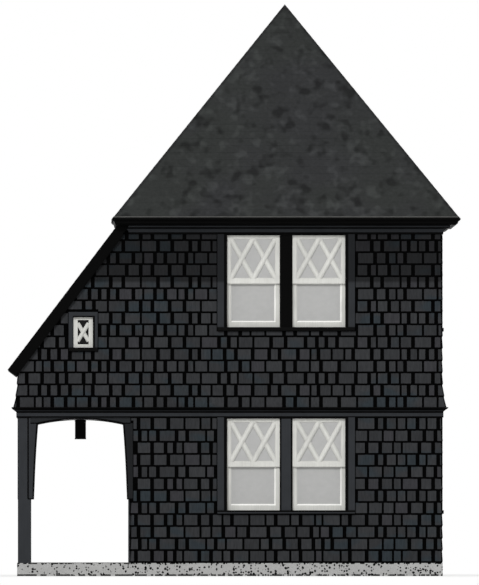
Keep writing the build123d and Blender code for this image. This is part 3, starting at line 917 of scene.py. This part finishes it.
def cut_out(rectangles, hole):
    """What a hole leaves of rectangles (left, right, low, high)."""
    kept = []
    hole_left, hole_right, hole_low, hole_high = hole
    for left, right, low, high in rectangles:
        if right <= hole_left or left >= hole_right or high <= hole_low or low >= hole_high:
            kept.append((left, right, low, high))
            continue
        if left < hole_left:
            kept.append((left, hole_left, low, high))
        if right > hole_right:
            kept.append((hole_right, right, low, high))
        middle = (max(left, hole_left), min(right, hole_right))
        if low < hole_low:
            kept.append((*middle, low, hole_low))
        if high > hole_high:
            kept.append((*middle, hole_high, high))
    return kept


def laid_course(chance, start, end, sizes, gaps):
    """Spans of the shingles along one course, from a loose start to past the end."""
    spans, place = [], start - chance.uniform(0, sizes.wide)
    while place < end:
        width = sizes.narrow + (sizes.wide - sizes.narrow) * chance.random() ** sizes.bias
        spans.append((place, place + width))
        place += width + chance.choice(gaps)
    return spans


def flare_out(level):
    """How far the upper wall stands out at a level: an arc that ends upright at its top."""
    height = settings().wall.flare_height
    radius = (FLARE_OUT ** 2 + height ** 2) / (2 * FLARE_OUT)
    below = max(0.0, min(height, BELT_TOP + height - level))
    return radius - math.sqrt(radius ** 2 - below ** 2)


def wall_places(ends, levels, holes, face, flared, seed):
    """Places of a wall's shingles, drawn on the front. Every third course has its joints in line."""
    sizes = settings().wall
    gaps = (sizes.tight_gap, sizes.open_gap, sizes.open_gap)
    margin = FLARE_OUT + sizes.butt
    thinnest = 0.85
    places = []
    for index, (low, high) in enumerate(zip(levels, levels[1:])):
        chance = random.Random(seed + index % 3)
        last = index == len(levels) - 2
        for left, right in laid_course(chance, ends[0] - margin, ends[1] + margin, sizes, gaps):
            pieces = [(left, right, low, high)]
            for hole in holes:
                pieces = cut_out(pieces, hole)
            for start, end, foot, head in pieces:
                if end - start < sizes.tight_gap or head - foot < 2 * sizes.undercut:
                    continue
                outs = [flare_out(level) if flared else 0.0 for level in (foot, head)]
                lean = math.atan2(outs[0] - outs[1], head - foot)
                tall = math.hypot(outs[0] - outs[1], head - foot)
                if head == high and not last:
                    tall += sizes.lap
                thick = sizes.butt * chance.uniform(thinnest, 1.0)
                position = ((start + end) / 2, -face - outs[0], foot)
                places.append((position, (-lean, 0.0, 0.0), (end - start, thick, tall)))
    return places


def corner_planes(ends, face):
    """Upright mitre planes at both ends of a wall drawn on the front, with an open joint left."""
    gap = settings().wall.corner_gap
    return [
        (Vector((ends[1] - gap, -face, 0)), Vector((1, 1, 0))),
        (Vector((ends[0] + gap, -face, 0)), Vector((-1, 1, 0))),
    ]


def catslide_plane():
    """The lower face of the catslide roof, as a point and an upward normal."""
    corners = node_corners("catslide_roof")
    foot = min(corners, key=lambda corner: corner.z)
    head = max((corner for corner in corners if corner.z > SOFFIT_LEVEL - MM), key=lambda corner: corner.x)
    rise, run = head.z - foot.z, head.x - foot.x
    return Vector(foot), Vector((-rise, 0, run)).normalized()


def wall_fields():
    """The shingled walls: name, side, face, ends, levels and what stands in each."""
    gap = settings().wall.trim_gap
    lower = (FOUNDATION_TOP, BELT_BOTTOM - gap)
    upper = (BELT_TOP - settings().wall.tuck, CORNICE_BOTTOM)
    porch = (FOUNDATION_TOP, CEILING_BOTTOM - settings().porch.board_depth)
    depth = (-FRONT_FACE, FRONT_FACE)
    main, main_back = (MAIN_LEFT, HOUSE_RIGHT), (-HOUSE_RIGHT, -MAIN_LEFT)
    whole, whole_back = (HOUSE_LEFT, HOUSE_RIGHT), (-HOUSE_RIGHT, -HOUSE_LEFT)
    brackets = "porch_brackets"
    return [
        ("lower_front", "front", FRONT_FACE, main, lower, ["front_window_frames", brackets]),
        ("lower_right", "right", HOUSE_RIGHT, depth, lower, ["right_window_frames"]),
        ("lower_back", "back", FRONT_FACE, main_back, lower, ["back_window_frames", brackets]),
        ("porch_wall", "left", -MAIN_LEFT, depth, porch, ["door_frame"]),
        ("upper_front", "front", FRONT_FACE, whole, upper, ["front_window_frames"]),
        ("upper_right", "right", HOUSE_RIGHT, depth, upper, ["right_window_frames"]),
        ("upper_back", "back", FRONT_FACE, whole_back, upper, ["back_window_frames"]),
        ("upper_left", "left", -HOUSE_LEFT, depth, upper, []),
    ]


class HOUSE_OT_shingle_walls(bpy.types.Operator):
    """Lays the shingles on every outer wall"""

    bl_idname = "house.shingle_walls"
    bl_label = "Shingle the walls"

    def execute(self, context):
        sizes = settings().wall
        gap = sizes.trim_gap
        finishes = ("stained_cedar", "tarred_end_grain")
        slope_point, slope_normal = catslide_plane()
        # A step between the seeds that leaves few joints in line over all three patterns of a wall
        seed_step = 4939
        for index, (name, side, face, ends, (low, high), standing) in enumerate(wall_fields()):
            levels = course_levels(low, high, sizes.exposure)
            holes = [
                (near.x - gap, far.x + gap, near.z - gap, far.z + gap)
                for node in standing for near, far in solid_boxes(node, side)
            ]
            flared = name.startswith("upper")
            places = wall_places(ends, levels, holes, face, flared, seed_step * (index + 1))
            planes = corner_planes(ends, face)
            if flared:
                back = side_place(side).to_3x3().inverted()
                planes.append((back @ slope_point, back @ slope_normal))
                planes.append((Vector((0, 0, BELT_TOP)), Vector((0, 0, -1))))
            move = side_place(side)
            add_shingles(
                f"{name}_shingles", places, sizes, index, finishes, planes, move
            )
        return {"FINISHED"}


class HOUSE_OT_line_belt(bpy.types.Operator):
    """Runs a bevelled moulding under the drip of the belt"""

    bl_idname = "house.line_belt"
    bl_label = "Line the belt"

    def execute(self, context):
        sizes = settings().wall
        corners = node_corners("front_belt")
        reach = max(-corner.y for corner in corners)
        head = min(corner.z for corner in corners if -corner.y > reach - WELD)
        board = max(-corner.y for corner in corners if corner.z < BELT_BOTTOM + WELD) - FRONT_FACE
        lip = reach - FRONT_FACE - sizes.drip_inset
        rings = []
        for out, level in ((board, head - sizes.drip), (lip, head), (board, head)):
            left, right, deep = HOUSE_LEFT - out, HOUSE_RIGHT + out, FRONT_FACE + out
            around = ((left, -deep), (right, -deep), (right, deep), (left, deep))
            rings.append([(x, y, level) for x, y in around])
        work = bmesh.new()
        add_loft(work, rings, looped=True)
        add_solid("belt_moulding", work, "belt_oil_paint")
        return {"FINISHED"}


# Roof covering

ROOF_FINISHES = ("weathered_roof_shingle", "weathered_roof_shingle")
CAP_FINISHES = ("weathered_hip_cap", "weathered_hip_cap")


def slope_places(half_width, foot, head, seed):
    """Places of the shingles on a slope that climbs from foot to head, as (outwards, level) points."""
    sizes = settings().roof
    run, rise = foot[0] - head[0], head[1] - foot[1]
    slant = math.hypot(run, rise)
    places = []
    for index in range(math.ceil(slant / sizes.exposure)):
        up = index * sizes.exposure
        chance = random.Random(seed + index)
        for left, right in laid_course(chance, -half_width, half_width, sizes, (sizes.gap,)):
            left, right = max(left, -half_width), min(right, half_width)
            if right - left < sizes.gap:
                continue
            position = ((left + right) / 2, -foot[0] + up * run / slant, foot[1] + up * rise / slant)
            size = (right - left, sizes.butt, sizes.exposure + sizes.lap)
            places.append((position, (-math.asin(run / slant), 0.0, 0.0), size))
    return places


class HOUSE_OT_shingle_roofs(bpy.types.Operator):
    """Lays the shingles on the pyramid roof and on the catslide roof"""

    bl_idname = "house.shingle_roofs"
    bl_label = "Shingle the roofs"

    def execute(self, context):
        sizes = settings().roof
        origin = Vector((0, 0, 0))
        hips = [(origin, Vector((1, 1, 0))), (origin, Vector((-1, 1, 0)))]
        lift = sizes.upstand + sizes.strip_height
        foot, head = (EAVE_REACH - lift * ROOF_RUN, EAVE_LEVEL + lift), (0.0, APEX_LEVEL)
        # Seeds of the slopes lie further apart than a slope has courses. The catslide has a lot of its own.
        seed_step, catslide_lot = 100, 9
        for index, side in enumerate(SIDE_TURNS):
            places = slope_places(EAVE_REACH, foot, head, seed_step * (index + 1))
            name, move = f"{side}_roof_shingles", ROOF_PLACE @ side_place(side)
            add_shingles(name, places, sizes, index, ROOF_FINISHES, hips, move)
        low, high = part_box("catslide_roof")
        corners = node_corners("catslide_roof")
        brow = max((corner for corner in corners if corner.x < low.x + MM), key=lambda corner: corner.z)
        top = min(corner.x for corner in corners if corner.z > high.z - MM)
        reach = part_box("rake_boards")[1].y
        places = slope_places(reach, (-brow.x, brow.z), (-top, high.z), seed_step * catslide_lot)
        soffit = [(Vector((0, 0, SOFFIT_LEVEL - MM)), Vector((0, 0, 1)))]
        name, move = "catslide_shingles", side_place("left")
        add_shingles(name, places, sizes, catslide_lot, ROOF_FINISHES, soffit, move)
        return {"FINISHED"}


class HOUSE_OT_cap_hips(bpy.types.Operator):
    """Lays the cap boards on the hips"""

    bl_idname = "house.cap_hips"
    bl_label = "Cap the hips"

    def execute(self, context):
        sizes = settings().roof
        rise = APEX_LEVEL - EAVE_LEVEL
        normal = Vector((0, -rise, EAVE_REACH)).normalized()
        peak = Vector((0, 0, APEX_LEVEL))
        places = []
        for side in SIDE_TURNS:
            swing = side_place(side).to_3x3()
            for hand in (-1, 1):
                corner = Vector((hand * EAVE_REACH, -EAVE_REACH, EAVE_LEVEL))
                along = (peak - corner).normalized()
                across = along.cross(normal)
                inward = across if across.x * hand < 0 else -across
                board = Matrix((inward * -hand, -normal, along)).transposed()
                slack = (sizes.upstand + sizes.strip_height) / along.z + sizes.cap_width / 2
                for index in range(int(((peak - corner).length - slack) / sizes.exposure)):
                    up = slack + index * sizes.exposure
                    middle = corner + along * up + inward * sizes.cap_width / 2 + normal * sizes.tip
                    size = (sizes.cap_width, sizes.butt, sizes.exposure + sizes.lap)
                    places.append((swing @ middle, (swing @ board).to_euler(), size))
        tint_seed = 77
        add_shingles("hip_caps", places, sizes, tint_seed, CAP_FINISHES, [], ROOF_PLACE)
        return {"FINISHED"}


def add_eave_ring(work, foot, head, out, depth):
    """Adds a band round the main roof that leans back with the slopes, mitred at its corners."""
    for side in SIDE_TURNS:
        rings = []
        for level in (foot, head):
            far = out - (level - EAVE_LEVEL) * ROOF_RUN
            near = far - depth
            corners = ((-far, -far), (far, -far), (near, -near), (-near, -near))
            rings.append([(x, y, level) for x, y in corners])
        bmesh.ops.transform(work, matrix=side_place(side), verts=add_loft(work, rings))


class HOUSE_OT_line_eaves(bpy.types.Operator):
    """Runs the black board and the zinc strip along the edge of the main roof"""

    bl_idname = "house.line_eaves"
    bl_label = "Line the eaves"

    def execute(self, context):
        sizes = settings().roof
        middle = EAVE_LEVEL + sizes.upstand
        for name, foot, head, finish_name, slot in (
            ("eave_upstand", EAVE_LEVEL, middle, "black_oil_paint", "eave_paint"),
            ("eave_strip", middle, middle + sizes.strip_height, "zinc_strip", "roof_shingles"),
        ):
            work = bmesh.new()
            add_eave_ring(work, foot, head, EAVE_REACH + sizes.strip_reach, sizes.strip_depth)
            add_solid(name, work, finish_name, ROOF_PLACE)
        return {"FINISHED"}


class HOUSE_OT_line_rakes(bpy.types.Operator):
    """Runs a black fillet under the rake boards, which also stands as painted shadow under them"""

    bl_idname = "house.line_rakes"
    bl_label = "Line the rakes"

    def execute(self, context):
        sizes = settings().roof
        foot, normal = catslide_plane()
        along = Vector((normal.z, 0, -normal.x))
        start = foot + along * (HOUSE_LEFT - foot.x) / along.x
        end = foot + along * (CORNICE_BOTTOM - foot.z) / along.z
        drop = normal * sizes.fillet
        inner = FRONT_FACE + sizes.fillet_stand
        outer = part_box("rake_boards")[1].y - sizes.fillet_inset
        corners = (start, end, end - drop, start - drop)
        work = bmesh.new()
        for ends in ((-outer, -inner), (inner, outer)):
            add_loft(work, [[(corner.x, depth, corner.z) for corner in corners] for depth in ends])
        add_solid("rake_fillets", work, "black_oil_paint")
        return {"FINISHED"}


# Windows


def lattice_lines(pane, crosses, rise, step):
    """Bar lines of crosses side by side over a share of a pane's height, with the bars one way set back a
    step."""
    low, high = pane
    slack = (1 - rise) / 2 * (high.z - low.z)
    foot, head = low.z + slack, high.z - slack
    width = (high.x - low.x) / crosses
    lines = []
    for index in range(crosses):
        left, right = low.x + index * width, low.x + (index + 1) * width
        lines.append(((left, low.y, foot), (right, low.y, head)))
        lines.append(((left, low.y + step, head), (right, low.y + step, foot)))
    return lines


def pane_kinds(side):
    """A side's panes, seen from its front: those over the meeting rails, those under, and the small ones."""
    upper, lower, small = [], [], []
    panes = solid_boxes(f"{side}_window_glass", side)
    widest = max(high.x - low.x for low, high in panes)
    nearest = min(low.y for low, high in panes)
    for low, high in panes:
        if high.x - low.x < widest / 2:
            small.append((low, high))
        elif low.y > nearest + MM:
            lower.append((low, high))
        else:
            upper.append((low, high))
    return upper, lower, small


def add_beads(work, pane, width, sides):
    """Adds sloping beads, mitred at their ends, from the sash down to the glass. Sides run from 0 at the
    foot of the pane to 3 at its left."""
    low, high = pane
    for side in sides:
        ends = []
        for corner in (side, (side + 1) % 4):
            end = []
            for inset, depth in ((0.0, low.y - width), (0.0, low.y), (width, low.y)):
                across = low.x + inset if corner in (0, 3) else high.x - inset
                level = low.z + inset if corner in (0, 1) else high.z - inset
                end.append((across, depth, level))
            ends.append(end)
        add_loft(work, ends)


class HOUSE_OT_glaze_windows(bpy.types.Operator):
    """Fits the lattice bars and the glazing beads"""

    bl_idname = "house.glaze_windows"
    bl_label = "Glaze the windows"

    def execute(self, context):
        sizes = settings().window
        for side in WINDOW_FACES:
            upper, lower, small = pane_kinds(side)
            for kind, panes, crosses, rise, width in (
                ("lattice", upper, 2, 1.0, sizes.bar_width),
                ("small_lattice", small, 1, sizes.small_rise, sizes.small_bar_width),
            ):
                step = sizes.halving
                lines = [line for pane in panes for line in lattice_lines(pane, crosses, rise, step)]
                if lines:
                    name, depth = f"{side}_window_{kind}", 2 * sizes.bar_depth
                    add_bars(name, lines, width, depth, "white_oil_paint", side)
            old, bead_highlight = bmesh.new(), bmesh.new()
            for pane in upper:
                add_beads(old, pane, sizes.bead, range(4))
            for pane in lower:
                add_beads(old, pane, sizes.bead, (2, 3))
                # The right and bottom beads of each lower pane are wider and whiter, as a painted highlight
                add_beads(bead_highlight, pane, sizes.highlight_bead_width, (0, 1))
            for name, work, paint in (
                (f"{side}_glazing_beads", old, "white_oil_paint"),
                (f"{side}_fresh_beads", bead_highlight, "fresh_white_oil_paint"),
            ):
                add_solid(name, work, paint, side_place(side))
        return {"FINISHED"}


def sash_groups(side):
    """The sashes of each window on a side, by whether it is upstairs and whether it is small."""
    sashes = solid_boxes(f"{side}_window_sashes", side)
    widest = max(high.x - low.x for low, high in sashes)
    groups = {}
    for low, high in sashes:
        groups.setdefault((low.z > BELT_TOP, high.x - low.x < widest / 2), []).append((low, high))
    return groups


class HOUSE_OT_bead_sashes(bpy.types.Operator):
    """Fits the black stop beads beside and over the sashes; over the reveals their black is also painted
    shade. A small sash has none on its left
    """

    bl_idname = "house.bead_sashes"
    bl_label = "Bead the sashes"

    def execute(self, context):
        sizes = settings().window
        for side, face in WINDOW_FACES.items():
            back = -face - sizes.casing
            front = back - sizes.mullion_board
            work = bmesh.new()
            for (_, small), sashes in sash_groups(side).items():
                low, high = whole_box(sashes)
                # A bead also covers the reveal beside the sash, where its black stands as painted shade
                lap, cover = sizes.stop_lap, sizes.stop_cover + sizes.reveal
                if small:
                    lap, cover = 0.0, sizes.small_stop
                under, top = high.z - sizes.stop_lap, high.z + sizes.stop_cover
                if not small:
                    add_block(work, (low.x - cover, front, low.z), (low.x + lap, back, top), EASE)
                add_block(work, (high.x - lap, front, low.z), (high.x + cover, back, top), EASE)
                add_block(work, (low.x + lap, front, under), (high.x - lap, back, top), EASE)
            add_solid(f"{side}_stop_beads", work, "black_oil_paint", side_place(side))
        return {"FINISHED"}


class HOUSE_OT_cover_mullions(bpy.types.Operator):
    """Fits the black boards over the upper mullions"""

    bl_idname = "house.cover_mullions"
    bl_label = "Cover the upper mullions"

    def execute(self, context):
        sizes = settings().window
        for side, face in WINDOW_FACES.items():
            pair = sash_groups(side)[True, False]
            foot, head = (corner.z for corner in whole_box(pair))
            left = min(high.x for low, high in pair) + sizes.reveal
            right = max(low.x for low, high in pair) - sizes.reveal
            back = -face - sizes.casing
            work = bmesh.new()
            add_block(work, (left, back - sizes.mullion_board, foot), (right, back, head), EASE)
            add_solid(f"{side}_mullion_board", work, "black_oil_paint", side_place(side))
        return {"FINISHED"}


# Porch


def lower_edges(node, side):
    """Lines where the outer face of a built node meets faces that look down, with a side turned to the
    front."""
    work = turned_copy(node, side)
    work.normal_update()
    face = min(vert.co.y for vert in work.verts)
    lines = []
    for edge in work.edges:
        normals = [part.normal for part in edge.link_faces]
        outer = any(normal.y < -0.9 for normal in normals)
        under = any(normal.z < -0.01 for normal in normals)
        if outer and under and all(vert.co.y < face + MM for vert in edge.verts):
            lines.append([vert.co.copy() for vert in edge.verts])
    work.free()
    return lines


class HOUSE_OT_finish_porch(bpy.types.Operator):
    """Fits the ceiling boards, the beads and nosings of the bays, the door's furniture and the lantern's
    rims"""

    bl_idname = "house.finish_porch"
    bl_label = "Finish the porch"

    def execute(self, context):
        sizes = settings().porch
        self.board_ceiling(sizes)
        self.bead_brackets(sizes)
        self.nose_bays(sizes)
        self.hang_door(sizes)
        self.rim_lantern(sizes)
        return {"FINISHED"}

    def board_ceiling(self, sizes):
        low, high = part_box("porch_ceiling")
        work = bmesh.new()
        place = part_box("porch_posts")[1].x
        while place < MAIN_LEFT - sizes.board_groove:
            right = min(place + sizes.board_width, MAIN_LEFT)
            corner = (place, low.y, low.z - sizes.board_depth)
            add_block(work, corner, (right, high.y, low.z), 1.5 * EASE)
            place += sizes.board_width + sizes.board_groove
        add_solid("ceiling_boards", work, "ceiling_oil_paint")

    def bead_brackets(self, sizes):
        half = sizes.bead_width / 2
        for side in BAY_BEAMS:
            posts = solid_boxes("porch_posts", side)
            face = min(low.y for low, high in posts)
            outer_posts = [(low.x + MM, high.x - MM) for low, high in posts if low.y < face + MM]
            work = bmesh.new()
            for low, high in solid_boxes("porch_brackets", side):
                for left, right in outer_posts:
                    for edge in (low.x, high.x):
                        if low.y < face + MM and left < edge < right:
                            corner = (edge - half, face - sizes.bead_depth, low.z)
                            add_block(work, corner, (edge + half, face, BELT_BOTTOM), EASE)
            add_solid(f"{side}_bracket_beads", work, "black_oil_paint", side_place(side))

    def nose_bays(self, sizes):
        for side, beam in BAY_BEAMS.items():
            lines = lower_edges(beam, side) + lower_edges("porch_brackets", side)
            name, depth = f"{side}_bay_nosings", sizes.nosing_depth
            add_bars(name, lines, sizes.nosing, depth, "black_oil_paint", side)

    def hang_door(self, sizes):
        low, high = solid_boxes("entrance_door", "left")[0]
        middle = (low.z + high.z) / 2
        across, level = low.x + sizes.knob_inset, middle - sizes.knob_drop
        half, tall = sizes.plate_width / 2, sizes.plate_height / 2
        plate = low.y - sizes.plate_depth
        work = bmesh.new()
        corner = (across - half, plate, level - tall)
        add_block(work, corner, (across + half, low.y, level + tall), 1.5 * EASE)
        radius, knob_stand, neck_share = sizes.knob_radius, 1.6, 1 / 3
        thin = radius * neck_share
        neck = Matrix.Translation((across, plate - radius / 2, level)) @ Matrix.Rotation(math.pi / 2, 4, "X")
        bmesh.ops.create_cone(
            work, cap_ends=True, segments=16, radius1=thin, radius2=thin, depth=radius, matrix=neck
        )
        knob = Matrix.Translation((across, plate - knob_stand * radius, level))
        bmesh.ops.create_uvsphere(work, u_segments=20, v_segments=12, radius=radius, matrix=knob)
        left, front, tall = high.x - sizes.hinge_width, low.y - sizes.hinge_depth, sizes.hinge_height / 2
        for place in (low.z + sizes.hinge_place, middle, high.z - sizes.hinge_place):
            add_block(work, (left, front, place - tall), (high.x, low.y, place + tall), 2 * EASE)
        add_solid("door_furniture", work, "enamelled_iron", side_place("left"))

    def rim_lantern(self, sizes):
        low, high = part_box("porch_lantern")
        reach = Vector((sizes.rim_reach, sizes.rim_reach, 0))
        (left, front, _), (right, back, _) = low - reach, high + reach
        work = bmesh.new()
        for foot in (low.z, high.z - 3 * sizes.rim):
            head = foot + sizes.rim
            add_block(work, (left, front, foot), (right, low.y, head))
            add_block(work, (left, high.y, foot), (right, back, head))
            add_block(work, (left, low.y, foot), (low.x, high.y, head))
            add_block(work, (high.x, low.y, foot), (right, high.y, head))
        add_solid("lantern_rims", work, "enamelled_iron")


# Stage


class HOUSE_OT_set_stage(bpy.types.Operator):
    """Sets the floor, the lamps, the white surroundings and the camera"""

    bl_idname = "house.set_stage"
    bl_label = "Set the stage"

    def execute(self, context):
        sizes = settings().stage
        scene = context.scene
        scene.view_settings.view_transform = "Standard"
        self.lay_floor(sizes)
        self.light(sizes)
        self.surround(scene, sizes)
        self.place_camera(scene, sizes)
        return {"FINISHED"}

    def lay_floor(self, sizes):
        # A hair under the foundation, so that no two faces lie in one plane
        half, level = sizes.floor / 2, -1 * MM
        corners = [(-half, -half, level), (half, -half, level), (half, half, level), (-half, half, level)]
        mesh = bpy.data.meshes.new("floor")
        mesh.from_pydata(corners, [], [(0, 1, 2, 3)])
        mesh.materials.append(finish("pale_floor"))
        floor = add_object("floor", mesh)

    def light(self, sizes):
        # Strength, height over the horizon and swing to the side, in degrees
        for name, strength, height, swing in (
            ("key_lamp", sizes.key, 33, -14), ("back_lamp", sizes.back, 50, 150),
        ):
            lamp = bpy.data.lights.new(name, "SUN")
            lamp.energy = strength
            lamp.angle = math.radians(sizes.softness)
            turn = (math.radians(90 - height), 0, math.radians(swing))
            add_object(name, lamp).rotation_euler = Euler(turn)

    def surround(self, scene, sizes):
        world = bpy.data.worlds.new("white_room")
        world.use_nodes = True
        tree = world.node_tree
        tree.nodes.clear()
        room, white = [
            first_output(tree, "ShaderNodeBackground", {"Color": WHITE, "Strength": strength})
            for strength in (sizes.ambient, 1.0)
        ]
        mix = first_output(tree, "ShaderNodeMixShader", {0: in_view(tree), 1: room, 2: white})
        add_node(tree, "ShaderNodeOutputWorld", {"Surface": mix})
        scene.world = world

    def place_camera(self, scene, sizes):
        columns, rows = sizes.columns, sizes.rows
        camera = bpy.data.cameras.new("elevation_camera")
        camera.lens = sizes.lens
        camera.sensor_width = sizes.sensor
        distance = rows * sizes.pixel * sizes.lens / sizes.sensor
        camera.clip_end = 4 * distance
        aim = Vector((
            (columns / 2 - sizes.middle_column) * sizes.pixel, -FRONT_FACE,
            (sizes.ground_row - rows / 2) * sizes.pixel,
        ))
        holder = add_object("elevation_camera", camera)
        holder.location = (sizes.stand_across, -FRONT_FACE - distance, sizes.stand_height)
        holder.rotation_euler = (aim - holder.location).to_track_quat("-Z", "Y").to_euler()
        scene.camera = holder


class HouseSettings(bpy.types.PropertyGroup):
    """All sizes and colours of the house"""

    wall: bpy.props.PointerProperty(type=WallShingleSizes)
    roof: bpy.props.PointerProperty(type=RoofSizes)
    window: bpy.props.PointerProperty(type=WindowSizes)
    porch: bpy.props.PointerProperty(type=PorchSizes)
    stage: bpy.props.PointerProperty(type=StageSizes)
    colours: bpy.props.PointerProperty(type=HouseColours)


OPERATORS = (
    HOUSE_OT_paint_built,
    HOUSE_OT_shingle_walls,
    HOUSE_OT_line_belt,
    HOUSE_OT_shingle_roofs,
    HOUSE_OT_cap_hips,
    HOUSE_OT_line_eaves,
    HOUSE_OT_line_rakes,
    HOUSE_OT_glaze_windows,
    HOUSE_OT_bead_sashes,
    HOUSE_OT_cover_mullions,
    HOUSE_OT_finish_porch,
    HOUSE_OT_set_stage,
)


class HOUSE_PT_finishes(bpy.types.Panel):
    """Lists the operators of the house"""

    bl_label = "House finishes"
    bl_space_type = "VIEW_3D"
    bl_region_type = "UI"
    bl_category = "House"

    def draw(self, context):
        for operator in OPERATORS:
            self.layout.operator(operator.bl_idname)


CLASSES = (
    WallShingleSizes, RoofSizes, WindowSizes, PorchSizes, StageSizes, HouseColours, HouseSettings,
    *OPERATORS, HOUSE_PT_finishes,
)


def register():
    for item in CLASSES:
        bpy.utils.register_class(item)
    bpy.types.Scene.house = bpy.props.PointerProperty(type=HouseSettings)


def unregister():
    del bpy.types.Scene.house
    for item in reversed(CLASSES):
        bpy.utils.unregister_class(item)


def main():
    register()
    for operator in OPERATORS:
        getattr(bpy.ops.house, operator.bl_idname.partition(".")[2])()
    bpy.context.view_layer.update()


if __name__ == "__main__":
    main()
